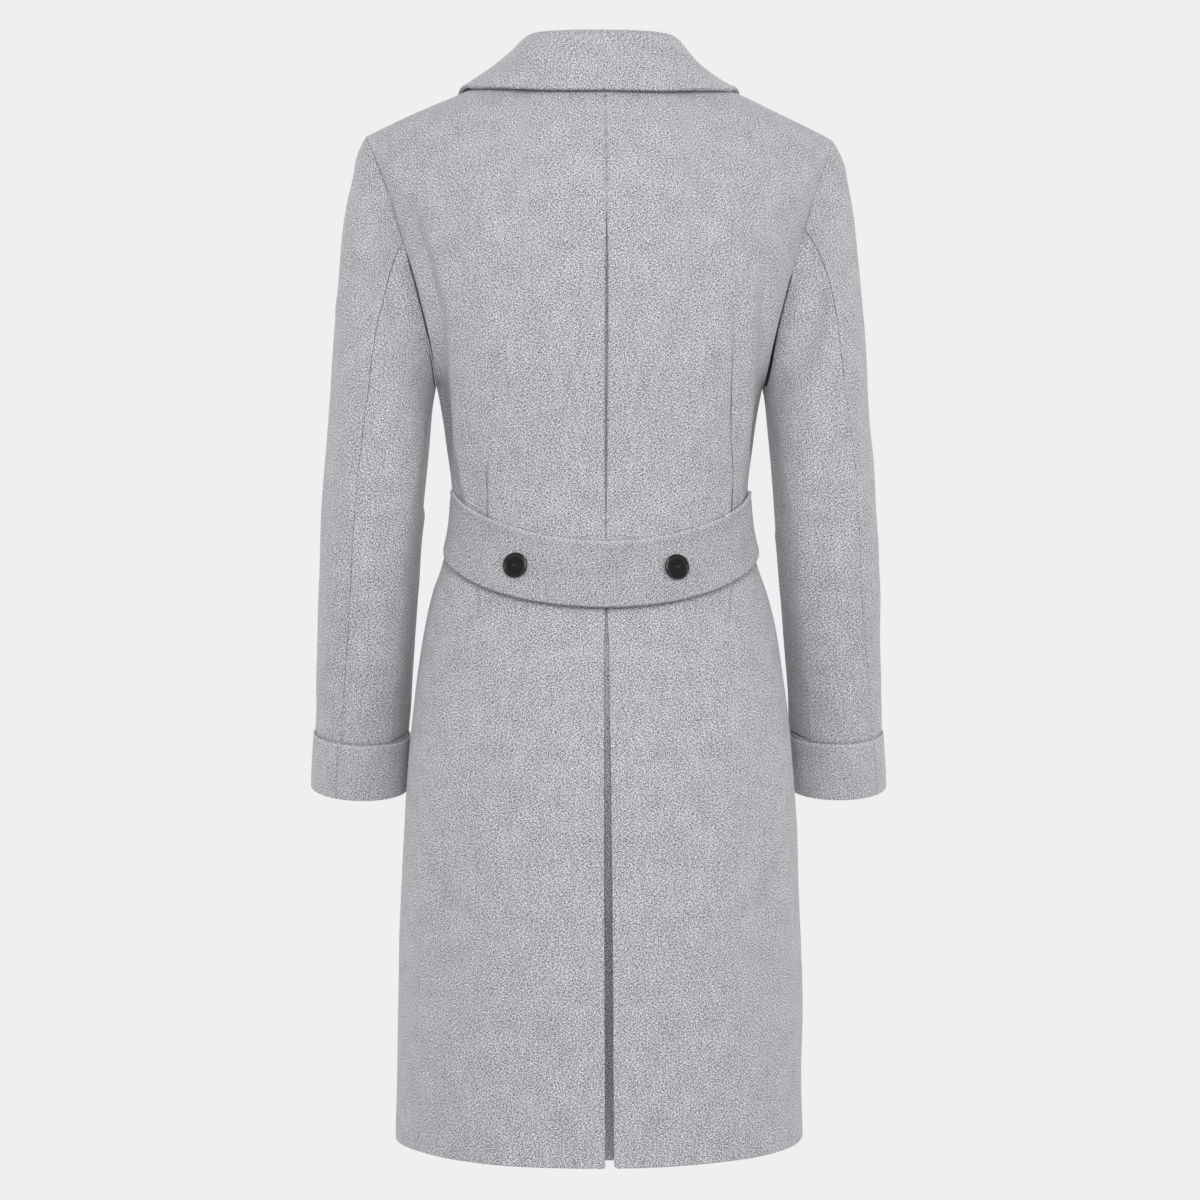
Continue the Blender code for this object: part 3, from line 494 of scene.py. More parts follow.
def wall(name, outer, out, thick, rounds, material, sewn, node, around=False, painted_shading=0.0):
    """A closed wall of cloth under the grid outer, thick in the direction -out. Within the distance r of an
    edge, given by rounds, half its thickness shrinks as sqrt(1 - (1 - d / r)^2), so both faces meet there.
    sewn gives the shade painted along each seam and edge; the last argument paints more shade, and
    highlights where it is below 0. The piece rides on the coat and stands for its CAD node."""
    across, up = runs(outer)
    to_edge = {"left": across, "right": across[:, -1:] - across, "low": up, "high": up[-1:] - up}
    share, shade = np.ones(outer.shape[:2]), np.zeros(outer.shape[:2])
    for edge, radius in rounds.items():
        share = share * np.sqrt(1 - (1 - np.clip(to_edge[edge] / radius, 0.0, 1.0)) ** 2)
        # Shade painted along each edge that sewn names
        if edge in sewn:
            shade = np.maximum(shade, sewn[edge] * bell(to_edge[edge], 0.0011))
    # Then more painted shade, or painted highlights and light where this is below 0
    shade = shade + painted_shading
    full_half = 0.5 * np.broadcast_to(thick, share.shape)[..., None]
    half = full_half * np.maximum(share, 0.02)[..., None]
    middle = outer - out * full_half
    count = share.size
    number = np.arange(count).reshape(share.shape)
    foot = up[-1:] if outer[-1, :, 2].mean() < outer[0, :, 2].mean() else 0.0
    cloth = np.stack([across, up - foot], axis=-1)
    wrap = 1 if around else 0
    closing = np.linalg.norm(outer[:, 0] - outer[:, -1], axis=1)  # from the last column round to the first
    if around:
        cloth = np.concatenate([cloth, cloth[:, -1:] + closing[:, None, None] * np.array([1, 0])], axis=1)
    rows, columns = share.shape
    i, j = np.meshgrid(np.arange(rows - 1), np.arange(columns - 1 + wrap), indexing="ij")
    k = (j + 1) % columns
    quad = [(i, j, j), (i, k, j + 1), (i + 1, k, j + 1), (i + 1, j, j)]
    front = np.stack([number[a, b] for a, b, _ in quad], axis=-1).reshape(-1, 4)
    flat = np.stack([cloth[a, c] for a, _, c in quad], axis=-2).reshape(-1, 4, 2)
    rims = [(number[0], cloth[0]), (number[-1], cloth[-1])]
    if not around:
        rims += [(number[:, 0], cloth[:, 0]), (number[:, -1], cloth[:, -1])]
    edge_faces, edge_uvs = [], []
    for n, (ids, at) in enumerate(rims):
        a, b = (ids, np.roll(ids, -1)) if around else (ids[:-1], ids[1:])
        f = np.stack([b, a, a + count, b + count], axis=-1)
        ua, ub = at[: len(a)], at[1 : len(a) + 1]
        uv = np.stack([ub, ua, ua, ub], axis=-2)
        if n in (1, 2):
            f, uv = f[:, ::-1], uv[:, ::-1]
        edge_faces.append(f)
        edge_uvs.append(uv)
    faces = np.concatenate([front, front[:, ::-1] + count, *edge_faces])
    uvs = np.concatenate([flat, flat[:, ::-1], *edge_uvs])
    points = np.concatenate([(middle + out * half).reshape(-1, 3), (middle - out * half).reshape(-1, 3)])
    m, q = rows // 2, columns // 2
    facing = np.cross(outer[m, q + 1] - outer[m, q], outer[m + 1, q] - outer[m, q])
    flip = float((facing * out[m, q]).sum()) < 0
    obj = mesh_of(name, (points, faces, uvs), flip, cloth, np.tile(shade.ravel(), 2), material)
    corner = outer[:-1, :-1] - outer[1:, 1:], outer[:-1, 1:] - outer[1:, :-1]
    area = 0.5 * np.linalg.norm(np.cross(*corner), axis=-1).sum()
    width, length = float(across.max()), float(up.max())
    if around:
        area += float((closing[:-1] * np.diff(up[:, 0])).sum())
        width += float(closing[0])
    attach(obj, "root")
    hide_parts(node)
    return obj


class Look:
    """A shader socket. Sums, differences and products of sockets and numbers add Math nodes."""

    def __init__(self, tree, socket=None):
        self.tree, self.socket = tree, socket

    def node(self, kind, settings=None, inputs=None, output=0):
        """A node of that kind, its settings made first, then the values or links of its sockets."""
        made = self.tree.nodes.new(kind)
        for key, value in (settings or {}).items():
            if key == "stops":
                ramp = made.color_ramp.elements
                for place, _ in value[1:-1]:
                    ramp.new(place)
                for stop, (place, colour) in zip(ramp, value):
                    stop.position, stop.color = place, (*colour, 1.0)
            else:
                setattr(made, key, value)
        for key, value in (inputs or {}).items():
            if isinstance(value, Look):
                self.tree.links.new(value.socket, made.inputs[key])
            else:
                made.inputs[key].default_value = value
        return Look(self.tree, made.outputs[output])

    def math(self, operation, a, b):
        return self.node("ShaderNodeMath", {"operation": operation}, {0: a, 1: b})

    def __add__(self, other):
        return self.math("ADD", self, other)

    def __sub__(self, other):
        return self.math("SUBTRACT", self, other)

    def __rsub__(self, other):
        return self.math("SUBTRACT", other, self)

    def __mul__(self, other):
        return self.math("MULTIPLY", self, other)

    __radd__, __rmul__ = __add__, __mul__

    def mix(self, a, b):
        """Colour a where the socket is 0, b where it is 1."""
        return self.node("ShaderNodeMix", {"data_type": "RGBA"}, {0: self, 6: a, 7: b}, 2)

    def clamp(self):
        return self.node("ShaderNodeClamp", inputs={0: self})


DARK_FIBRE, MIDDLE, PALE_FIBRE = (0.10, 0.10, 0.113), (0.40, 0.402, 0.43), (0.80, 0.80, 0.83)
FIBRE_LONG, FIBRE_WIDE = 620.0, 1250.0  # fibres to the metre, along and across
MELANGE, BLOTCHED, STREAKED = 7.4, 0.26, 0.24  # contrast of the fibres, of slow blots and of short streaks
DARKENED_TO, PAINTED_LIGHT_TO = (0.10, 0.10, 0.11, 1.0), (0.70, 0.70, 0.73, 1.0)  # the colour that painted shade and a darker piece tend to, then the colour that painted highlights and painted light tend to
NAP = 0.30


def wool_look(name, grain=0.0, shift=0.0, darker_all_over=0.0):
    """Milled melange flannel: dark and pale fibres lie both ways across the grain over a middle grey, their
    ends make a low uneven nap. Shade is painted along seams, edges and clefts, highlights along some
    edges and light over some pieces; the last argument makes a whole piece darker all over."""
    material, tree, shader = new_look(name)
    start = Look(tree)
    cloth = start.node("ShaderNodeUVMap", {"uv_map": "cloth"})

    def fibres(angle, long, wide, offset, detail):
        """Noise drawn out at an angle to the grain, with so many blots to the metre along and across."""
        moved, turned = (offset + shift, offset * 0.7, 0.0), (0, 0, np.radians(angle + grain))
        at = start.node("ShaderNodeMapping", inputs={0: cloth, 1: moved, 2: turned, 3: (long, wide, 1.0)})
        noise = {"Vector": at, "Scale": 1.0, "Detail": detail, "Roughness": 0.6}
        return start.node("ShaderNodeTexNoise", inputs=noise)

    rising = fibres(45.0, FIBRE_LONG, FIBRE_WIDE, 0.0, 1.5)
    falling = fibres(-45.0, FIBRE_LONG, FIBRE_WIDE, 7.3, 1.5)
    upright = fibres(0.0, FIBRE_WIDE, FIBRE_LONG, 3.1, 1.0)
    blotch = fibres(20.0, 38.0, 46.0, 1.7, 2.0)
    streak = fibres(0.0, 150.0, 34.0, 5.9, 2.0)
    mingled = (rising + falling + upright) * (1 / 3)
    contrast = (mingled - 0.5) * MELANGE + (blotch - 0.5) * BLOTCHED + (streak - 0.5) * STREAKED + 0.5
    stops = ((0.0, DARK_FIBRE), (0.5, MIDDLE), (1.0, PALE_FIBRE))
    colour = start.node("ShaderNodeValToRGB", {"stops": stops}, {0: contrast.clamp()})
    sewn = start.node("ShaderNodeAttribute", {"attribute_name": "sewn"}, output=2)
    # Painted shade from the sewn attribute, and a whole piece darker all over; below 0 the attribute paints
    # highlights and light
    colour = (sewn * 0.55 + darker_all_over).clamp().mix(colour, DARKENED_TO)
    colour = (sewn * -0.5).clamp().mix(colour, PAINTED_LIGHT_TO)
    height = rising * 0.5 + falling * 0.5 + upright * 0.3
    bump = start.node("ShaderNodeBump", inputs={"Strength": 0.35, "Distance": 0.0006, "Height": height})
    tree.links.new(colour.socket, shader.inputs["Base Color"])
    tree.links.new(bump.socket, shader.inputs["Normal"])
    shader.inputs["Roughness"].default_value = 0.95
    shader.inputs["Specular IOR Level"].default_value = 0.15
    shader.inputs["Sheen Weight"].default_value = NAP
    shader.inputs["Sheen Roughness"].default_value = 0.55
    return material


wool = wool_look("wool_flannel")

STEP = 0.0046  # usual distance between points of the cloth
BACK_WIDTH = 0.26  # about what a back measures across
ARMHOLE_RUN = 0.27
heights = spaced(HEM, UNDERARM, STEP, (True, False))[:-1]
climb = spaced(0.0, ARMHOLE_RUN - SEAM, STEP, (False, True)) / ARMHOLE_RUN
LAP_PLACE = 0.50
lap_near = np.array([0.0004, 0.0010, 0.0018, 0.0029, 0.0045, 0.0068, 0.0100])  # beside the laps' line
lap_near = np.concatenate([-lap_near[::-1], [0.0], lap_near])
inner_part = spaced(0.0, LAP_PLACE * BACK_WIDTH + lap_near[0], STEP, (True, False))[:-1]
outer_part = spaced(LAP_PLACE * BACK_WIDTH + lap_near[-1], BACK_WIDTH - SEAM, 0.0030, (False, True))[1:]
back_places = np.concatenate([inner_part, LAP_PLACE * BACK_WIDTH + lap_near, outer_part]) / BACK_WIDTH
CHEST_MIDDLE = np.array([0.0, 0.0, -0.4])


def panel_walls(grid, back):
    """Directions out of a panel: its normals, level with the neighbour's at the seams that it shares."""
    n = normals(grid, CHEST_MIDDLE)
    across, up = runs(grid)
    side = np.exp(-((across[:, -1:] - across) / 0.004))
    side[len(heights) :] = 0.0
    top = np.exp(-((up[-1:] - up) / 0.004)) * ((grid[-1, :, 0] >= NECK_X) if back else 1.0)
    middle = np.exp(-(across / 0.004)) if back else 0.0 * across
    n[..., 1] *= 1 - np.maximum(side, top)
    n[..., 0] *= 1 - middle
    return unit(n)


def mirrored(grid):
    return grid * np.array([-1.0, 1.0, 1.0])


def on_side(side, *grids):
    """The grids as they are for the left side, mirrored for the right."""
    return grids if side > 0 else tuple(mirrored(grid) for grid in grids)


def hem_corner(grid, radius, along):
    """Rounds the lower inner corner in the plane of the cloth by lifting its edge."""
    lift = radius - np.sqrt(np.maximum(radius**2 - np.clip(radius - along, 0.0, radius) ** 2, 0.0))
    out = grid.copy()
    out[..., 2] += lift * ease(1 - (grid[..., 2] - HEM) / 0.020)
    return out


LAP_SHADE = 190.0  # how much shade is painted into a cleft for each metre that it is deep
CLEFT_PUSH = 1.2  # how much deeper the clefts are than the laps' tables say
BELT_CLIMB = ((0.0, 0.0), (0.05, 0.004), (0.09, 0.0125), (0.12, 0.026), (0.14, 0.041), (0.15, 0.058))  # x, rise
HEM_CORNER = {1: 0.0015, -1: 0.0042}  # how round each back's corner is at the foot of the pleat
back_walls, back_grids, back_cleft_shade = {}, {}, {}
for side, word in SIDES.items():
    shares = following(True, heights, climb, back_places, LAP_PLACE, FOLLOW[side])
    grid = panel(True, heights, climb, shares)
    across, up = runs(grid)
    out = panel_walls(grid, True)
    free = ease(across / 0.026) * ease((across[:, -1:] - across) / 0.016) * ease((up[-1:] - up) / 0.030)
    lift = creased(grid[..., 0], grid[..., 2], BACK_CREASES[side]) * free
    lift += rumple(across, up, 11 + side, 0.070, 0.00080) * free
    # Under the half belt little stands out past the belt's inner face
    over_belt = grid[..., 2] - np.interp(grid[..., 0], *zip(*BELT_CLIMB))
    belt_zone = ease((over_belt + 0.545) / 0.02) * ease((-0.430 - over_belt) / 0.02)
    lift = np.where(lift > 0, lift * (1 - 0.85 * belt_zone), lift)
    outer = grid + out * lift[..., None]
    cleft = clefts(grid[..., 0], grid[..., 2], BACK_CREASES[side]) * free
    outer[..., 1] -= CLEFT_PUSH * cleft
    # Shade painted into the laps' clefts, standing in for their shadow
    back_cleft_shade[side] = LAP_SHADE * cleft
    outer = hem_corner(outer, HEM_CORNER[side], across)
    outer[..., 0] += np.interp(outer[..., 2], *zip(*PLEAT_GAP)) * ease(1 - across / 0.05)
    back_grids[side], back_walls[side] = outer, out

# Fronts: two panels that lap, the wearer's left over the right, sewn to the backs at the sides and
# shoulders. The front underneath sinks where the other passes over it.
FRONT_WIDTH = 0.33
front_places = spaced(0.0, FRONT_WIDTH - SEAM, STEP) / FRONT_WIDTH
FRONT_CREASES = {
    1: (
        ("trough", 2.2, 14, 176, -160, 158, -235, 150, -310),
        ("trough", 1.2, 20, 120, -330, 126, -450, 120, -560),
        ("trough", 1.2, 26, 110, -600, 120, -800, 126, -1040),
        ("trough", -1, 22, 45, -640, 52, -820, 48, -1040),
    ),
    -1: (
        ("trough", 2.4, 13, 178, -170, 160, -240, 152, -320),
        ("trough", 1.1, 22, 124, -340, 118, -450, 126, -570),
        ("trough", 1.3, 26, 128, -610, 118, -820, 124, -1040),
    ),
}


def covered(x, z):
    """1 where the front underneath has passed below the edge of the front on top, in mirrored x."""
    share = (z - UNDERARM) / (ridge(NECK_X) - UNDERARM)
    edge = np.where(share < 0, OVERLAP, -roll_line(np.clip(share, 0.0, 1.0))[..., 0])
    return ease((edge + 0.072 - x) / 0.070)


def tuck(points):
    """How far the front underneath lies below the front on top, more where its lapel runs in between."""
    z = points[..., 2]
    return (0.0036 + 0.0066 * ease((z - UNDERARM + 0.09) / 0.09)) * covered(points[..., 0], z)


front_shares = np.tile(front_places, (len(heights) + len(climb), 1))
front_grid = panel(False, heights, climb, front_shares)
front_walls, front_grids = {}, {}
for side in (1, -1):
    across, up = runs(front_grid)
    out = panel_walls(front_grid, False)
    free = ease(across / 0.020) * ease((across[:, -1:] - across) / 0.030) * ease((up[-1:] - up) / 0.030)
    lift = creased(front_grid[..., 0], front_grid[..., 2], FRONT_CREASES[side]) * free
    lift += rumple(across, up, 31 + side, 0.075, 0.0005) * free
    # The overlap lies flat, so that the two fronts and the buttons keep their distances
    lift *= ease((front_grid[..., 0] - 0.074) / 0.030)
    if side < 0:
        lift = lift - tuck(front_grid)
    outer = front_grid + out * lift[..., None]
    front_grids[side], front_walls[side] = hem_corner(outer, 0.003, across), out

# Sleeves: a top and an under sleeve each, eased into the armhole, bent a little forward at the elbow. The
# seam behind runs down to the cuff.
SLEEVE = (
    (-0.335, 0.2190, 0.002, 0.0518, 0.0655, 0.0, 80, -105),
    (-0.374, 0.2223, 0.004, 0.0514, 0.0640, 0.0, 74, -106),
    (-0.410, 0.2250, 0.005, 0.0510, 0.0620, 1.0, 69, -108),
    (-0.458, 0.2285, 0.003, 0.0504, 0.0605, 3.0, 66, -110),
    (-0.506, 0.2313, -0.004, 0.0498, 0.0590, 6.0, 66, -110),
    (-0.554, 0.2338, -0.014, 0.0489, 0.0570, 9.0, 65, -110),
    (-0.602, 0.2372, -0.026, 0.0478, 0.0545, 11.0, 63, -110),
    (-0.640, 0.2396, -0.036, 0.0472, 0.0525, 12.0, 62, -110),
    (-0.706, 0.2440, -0.053, 0.0466, 0.0505, 12.0, 62, -110),
)  # height, centre x and y, half-width, half-depth, forward tilt, angles of the back and the front seam
LEAVE = (
    (0.00, 0.10, 0.00, -1.00),
    (0.20, 0.45, 0.10, -0.85),
    (0.45, 0.66, 0.24, -0.68),
    (0.70, 0.62, 0.24, -0.72),
    (0.88, 0.45, 0.12, -0.86),
    (1.00, 0.31, 0.00, -0.95),
)  # share of the way up the armhole, then the sleeve's way off it: outwards, backwards, upwards
CLIMB = (0.0, 0.05, 0.13, 0.24, 0.36, 0.49, 0.62, 0.74, 0.85, 0.94, 1.0)
BACK_SEAM, FRONT_SEAM, ROUND = 5.0, 17.0, 20.0  # places round the armhole, from the underarm up its back
SWAY = ((-0.720, -0.0026), (-0.640, -0.0018), (-0.480, 0.0), (0.1, 0.0))  # both sleeves hang a little to -X
SLEEVE_TOP, SLEEVE_END = -0.335, -0.7010
CAP_RUN = 0.16  # about what the cap measures from the armhole to SLEEVE_TOP

# Face (1 back, -1 front), then a crease as on the backs, for each side
SLEEVE_CREASES = {
    1: (
        (1, "trough", 7.6, 12, 262, -188, 225.4, -213.6, 196, -242),
        (1, "trough", 2.7, 10, 245, -265, 222, -285, 198, -300),
        (1, "trough", 3.1, 16, 214, -330, 210, -430, 212, -520),
        (1, "trough", 2.4, 12, 256, -440, 238, -462, 214, -470),
        (1, "trough", 2.2, 14, 262, -520, 240, -548, 220, -556),
        (-1, "trough", 5.1, 13, 250, -170, 218, -215, 190, -262),
        (-1, "trough", 3.7, 12, 212, -400, 232, -424, 262, -430),
        (-1, "trough", 3.1, 12, 208, -455, 230, -474, 262, -486),
    ),
    -1: (
        (1, "trough", 6.6, 12, 222, -196, 211, -240, 190, -288),
        (1, "trough", 2.4, 12, 254, -250, 232, -300, 206, -340),
        (1, "trough", 2.9, 16, 212, -350, 214, -440, 216, -540),
        (1, "trough", 2.2, 12, 262, -428, 240, -450, 216, -452),
        (1, "trough", 2, 14, 266, -560, 246, -584, 222, -590),
        (-1, "trough", 4.8, 13, 246, -180, 214, -225, 188, -270),
        (-1, "trough", 3.6, 12, 210, -392, 232, -412, 260, -424),
        (-1, "trough", 3.2, 12, 206, -446, 230, -468, 264, -474),
    ),
}


def ring_points(z, place):
    """Points round the sleeve at heights z: centre + across * cos(angle) + behind * sin(angle). The angle
    falls evenly from the back seam over the top to the front seam, and on under the arm."""
    row = smooth(SLEEVE[::-1], z)
    place = np.where(place > ROUND + BACK_SEAM, place - ROUND, place)
    tilt = np.radians(row[..., 4])
    nought = 0 * tilt
    centre = np.stack([row[..., 0], row[..., 1], np.asarray(z, float)], axis=-1)[:, None]
    sideways = np.stack([row[..., 2], nought, 0.007 * np.sin(tilt)], axis=-1)[:, None]
    backways = np.stack([nought, row[..., 3] * np.cos(tilt), -row[..., 3] * np.sin(tilt)], axis=-1)[:, None]
    back, front = row[:, 5:6], row[:, 6:7]
    over = back - (place - BACK_SEAM) * (back - front) / (FRONT_SEAM - BACK_SEAM)
    under = front - (place - FRONT_SEAM) * (360 - back + front) / (ROUND - FRONT_SEAM + BACK_SEAM)
    turned = np.radians(np.where(place <= FRONT_SEAM, over, under))[..., None]
    return centre + sideways * np.cos(turned) + backways * np.sin(turned)


def armhole_share(place):
    """Share of the way up the armhole at places round it, and whether each is on its back."""
    way = np.mod(place, ROUND)
    up = np.where(way <= ROUND / 2, way, ROUND - way)
    return np.interp(up, np.arange(len(CLIMB)), CLIMB), way <= ROUND / 2


def sleeve_grid(place, cap, tube):
    """Sleeve points: the cap bends from the armhole's edge and its way off it to the tube's first ring, then
    the rings follow."""
    share, back = armhole_share(place)
    start = np.where(back[:, None], armhole(True, share), armhole(False, share))
    out = smooth(LEAVE, share) * np.where(back[:, None], 1.0, np.array([1.0, -1.0, 1.0]))
    out = unit(out)
    end = ring_points(np.array([SLEEVE_TOP]), place)[0]
    down = (ring_points(np.array([SLEEVE_TOP - 0.01]), place)[0] - end) / 0.01
    span = np.linalg.norm(end - start, axis=1, keepdims=True)
    t = cap[:, None, None]
    grid = (1 + 2 * t) * (1 - t) ** 2 * start + t * (1 - t) ** 2 * 0.9 * span * out
    grid = grid + t * t * (3 - 2 * t) * end + t * t * (t - 1) * span * down
    return np.concatenate([grid, ring_points(tube, place)])


def swayed(grid):
    out = grid.copy()
    out[..., 0] += np.interp(grid[..., 2], *zip(*SWAY))
    return out


cap_rows = spaced(SEAM, CAP_RUN, 0.0044, (True, False))[:-1] / CAP_RUN
CUFF_TOP = -0.6480
drawn_in = np.array([-9.0, -6.0, -4.2, -3.0, -2.1, -1.3, -0.6, 0.1, 1.0, 2.4]) * MM - CUFF_TOP  # rows round that
tube_rows = spaced(-SLEEVE_TOP, -SLEEVE_END, 0.0048, (False, True))
tube_rows = -np.sort(np.concatenate([tube_rows[np.abs(tube_rows + CUFF_TOP + 0.003) > 0.0085], drawn_in]))
PLACE_RUN = 0.0165  # about what one place round the sleeve measures


def armhole_walls(place, sleeve_out):
    """The direction that the walls of a sleeve and of the panels share along the armhole, and how much."""
    share, back = armhole_share(place)
    rows = len(heights)
    near = []
    for walls, away in ((back_walls[1], 1), (front_walls[1], -1)):
        near.append(np.stack([np.interp(share, climb, walls[rows:, -1, k]) for k in range(3)], axis=1))
    panel_out = unit(np.where(back[:, None], near[0], near[1]))
    agree = ease(((panel_out * sleeve_out).sum(axis=1, keepdims=True) + 0.2) / 0.5)
    return unit(panel_out + sleeve_out), agree


# The seam behind wanders a little round each sleeve: height, place, from the cuff up
BACK_SEAMS = {
    1: (
        (-0.703, 4.70), (-0.610, 4.75), (-0.563, 4.75), (-0.512, 4.68), (-0.463, 4.62), (-0.420, 4.74),
        (-0.400, 4.86),
        (-0.367, 5.10), (-0.330, 5.34), (-0.298, 5.38), (-0.261, 5.28), (-0.234, 5.18), (-0.217, 5.12),
        (-0.190, 5.20),
        (-0.165, 5.42),
    ),
    -1: (
        (-0.703, 6.05), (-0.604, 5.88), (-0.569, 5.72), (-0.535, 5.54), (-0.504, 5.41), (-0.463, 5.40),
        (-0.412, 5.60),
        (-0.391, 5.77), (-0.363, 5.96), (-0.333, 6.08), (-0.309, 6.08), (-0.277, 5.96), (-0.249, 5.87),
        (-0.227, 5.80),
        (-0.204, 5.74), (-0.180, 5.76), (-0.150, 5.95),
    ),
}
RING_STEP = 0.05
FINE_SEAM = 0.00045
HEAD_FULL = 0.0030  # how much the eased sleeve head stands up below the armhole seam
SLEEVE_ROLL = {1: 0.0030, -1: 0.0060}  # how far the sleeve rolls in to the deep part of the armhole seam
SLEEVE_SUNK = {1: 0.0016, -1: 0.0026}  # how deep it lies there below the back


def round_rows(values, place):
    """Values of the whole sleeve at other places round each of its rows."""
    at = np.mod(place, ROUND) / RING_STEP
    low = np.floor(at).astype(int)
    part, rows, count = (at - low)[..., None], np.arange(len(values))[:, None], values.shape[1]
    return values[rows, low % count] * (1 - part) + values[rows, (low + 1) % count] * part


ring_place = np.arange(0.0, ROUND - 1e-9, RING_STEP)
whole = sleeve_grid(ring_place, cap_rows, tube_rows)
whole_out = normals(whole, whole.mean(axis=1, keepdims=True), around=True)
ring_shared, ring_agree = armhole_walls(ring_place, whole_out[0])
from_armhole = runs(whole)[1][..., None]
near = np.exp(-from_armhole / 0.008) * ring_agree
whole_way = unit(whole_out * (1 - near) + ring_shared * near)

# The panels' walls take the same direction along the armhole
ring_share, ring_back = armhole_share(ring_place)
for grids, walls, pick in ((back_grids, back_walls, ring_place <= 10), (front_grids, front_walls, ring_place >= 10)):
    order = np.argsort(ring_share[pick])
    known = np.concatenate([ring_shared, ring_agree], axis=1)[pick][order]
    at = np.stack([np.interp(climb, ring_share[pick][order], known[:, k]) for k in range(4)], axis=1)
    for side in (1, -1):
        across = runs(grids[side])[0][len(heights) :]
        near = np.exp(-(across[:, -1:] - across) / 0.008)[..., None] * at[:, None, 3:]
        high = walls[side][len(heights) :]
        walls[side][len(heights) :] = unit(high * (1 - near) + at[:, None, :3] * near)

# The four panels' walls, now that the sleeves have given the directions along the armholes. The pleat's
# edges are turned, the centre back above it is sewn. Low on the armhole the sleeve hangs over the seam
TURNED = WALL / 2
DEEP_SEAM = 0.0032
PLEAT_OPEN = (
    (PLEAT_FOOT - 0.02, 1), (PLEAT_FOOT, 0), (-0.410, 0), (-0.385, 1), (PLEAT_TOP - 0.03, 1), (PLEAT_TOP, 0),
)  # height, then how far the pleat's edges lie free there
SEAM_SHADE, DEEP_SHADE = {1: 0.10, -1: 0.0}, 1.8  # how much shade is painted along the armhole seam above that, and there besides
deep_share = {1: 0.52, -1: 0.46}  # where along the armhole the seam starts to lie deep, from the underarm up
for side, word in SIDES.items():
    z = back_grids[side][:, :1, 2]
    open_pleat = np.interp(z, *zip(*PLEAT_OPEN))
    low_arm = np.concatenate([0 * heights, ease((deep_share[side] - climb) / 0.05)])[:, None]
    arm_round = SEAM_ROUND + (DEEP_SEAM - SEAM_ROUND) * low_arm
    pleat_round = SEAM_ROUND + (TURNED - SEAM_ROUND) * open_pleat
    rounds = {"left": pleat_round, "right": arm_round, "low": TURNED, "high": SEAM_ROUND}
    # Painted shade along the centre back seam and the open pleat above the belt, along the armhole seam, heavier low
    # down, and along the neck and shoulder seam
    upper_pleat = open_pleat * ease((z + 0.43) / 0.03)
    middle_shade, arm_shade = 0.55 * (1 - open_pleat) + 0.9 * upper_pleat, SEAM_SHADE[side] + DEEP_SHADE * low_arm
    sewn = {"left": middle_shade, "right": arm_shade, "high": 0.2}
    grid, out = on_side(side, back_grids[side], back_walls[side])
    wall("wool_back_" + word, grid, out, WALL, rounds, wool, sewn, "back_" + word, painted_shading=back_cleft_shade[side])

    rounds = {"left": TURNED, "right": SEAM_ROUND, "low": TURNED, "high": SEAM_ROUND}
    # Painted shade along the front's turned edge, its side and armhole seam and its shoulder seam
    sewn = {"left": 0.9, "right": 0.4, "high": 0.3}
    grid, out = on_side(side, front_grids[side], front_walls[side])
    wall("wool_front_" + word, grid, out, WALL, rounds, wool, sewn, "front_" + word)

for side, word in SIDES.items():
    behind = smooth(BACK_SEAMS[side], whole[:, round(5.4 / RING_STEP), 2])
    parts = ("top_sleeve", behind, FRONT_SEAM, 12.0), ("under_sleeve", FRONT_SEAM, ROUND + behind, 8.0)
    for n, (part, first, last, wide) in enumerate(parts):
        wide = wide * PLACE_RUN
        share = spaced(SEAM, wide - SEAM, 0.0044) / wide
        place = first + (last - first) * share
        grid, out, direction = (round_rows(values, place) for values in (whole, whole_out, whole_way))
        across, up = runs(grid)
        free = ease(across / 0.024) * ease((across[:, -1:] - across) / 0.024) * ease(up / 0.030)
        free = free * ease((grid[..., 2] - SLEEVE_END - 0.055) / 0.040)
        ring = np.concatenate([0 * cap_rows, tube_rows])[:, None]
        drawn = 0.0017 * bell(ring - CUFF_TOP - 0.0004, 0.0017)
        lift = rumple(across, up, 50 + 4 * n + side, 0.060, 0.0006)
        head = ease(1 - np.abs(np.mod(place, ROUND) - 10.0) / 4.5)
        lift += HEAD_FULL * head * bell(up - 0.022, 0.016) / np.maximum(free, 0.05)
        for face, *crease in SLEEVE_CREASES[side]:
            lift += creased(grid[..., 0], grid[..., 2], (crease,)) * ease(out[..., 1] * face / 0.35)
        low_arm = ease((deep_share[side] - armhole_share(place[:1])[0]) / 0.05) * armhole_share(place[:1])[1]
        drawn = drawn + SLEEVE_SUNK[side] * low_arm * bell(up, 0.009)
        outer, direction = on_side(side, grid + unit(out) * (lift * free - drawn)[..., None], unit(direction))
        arm_round = SEAM_ROUND + (SLEEVE_ROLL[side] - SEAM_ROUND) * low_arm
        rounds = {"left": FINE_SEAM, "right": FINE_SEAM, "low": arm_round, "high": TURNED}
        # Painted shade along the sleeve's seams and the armhole seam, heavier low on the armhole
        sewn = {"left": 0.15, "right": 0.15, "low": SEAM_SHADE[side] + DEEP_SHADE * low_arm}
        node = "%s_%s" % (part, word)
        wall("wool_" + node, swayed(outer), direction, WALL, rounds, wool, sewn, node)

# Cuffs: a band of the same cloth turned back round each sleeve's end, seamed behind and in front, with
# its top edge standing a little off the sleeve.
CUFF_WALL, CUFF_LIE, CUFF_FLARE = 0.0022, 0.0004, -0.0004
CUFF_END = {1: -0.7032, -1: -0.7044}
CUFF_SEAMS = {1: (4.97, 17.0), -1: (6.12, 17.0)}  # places round the sleeve

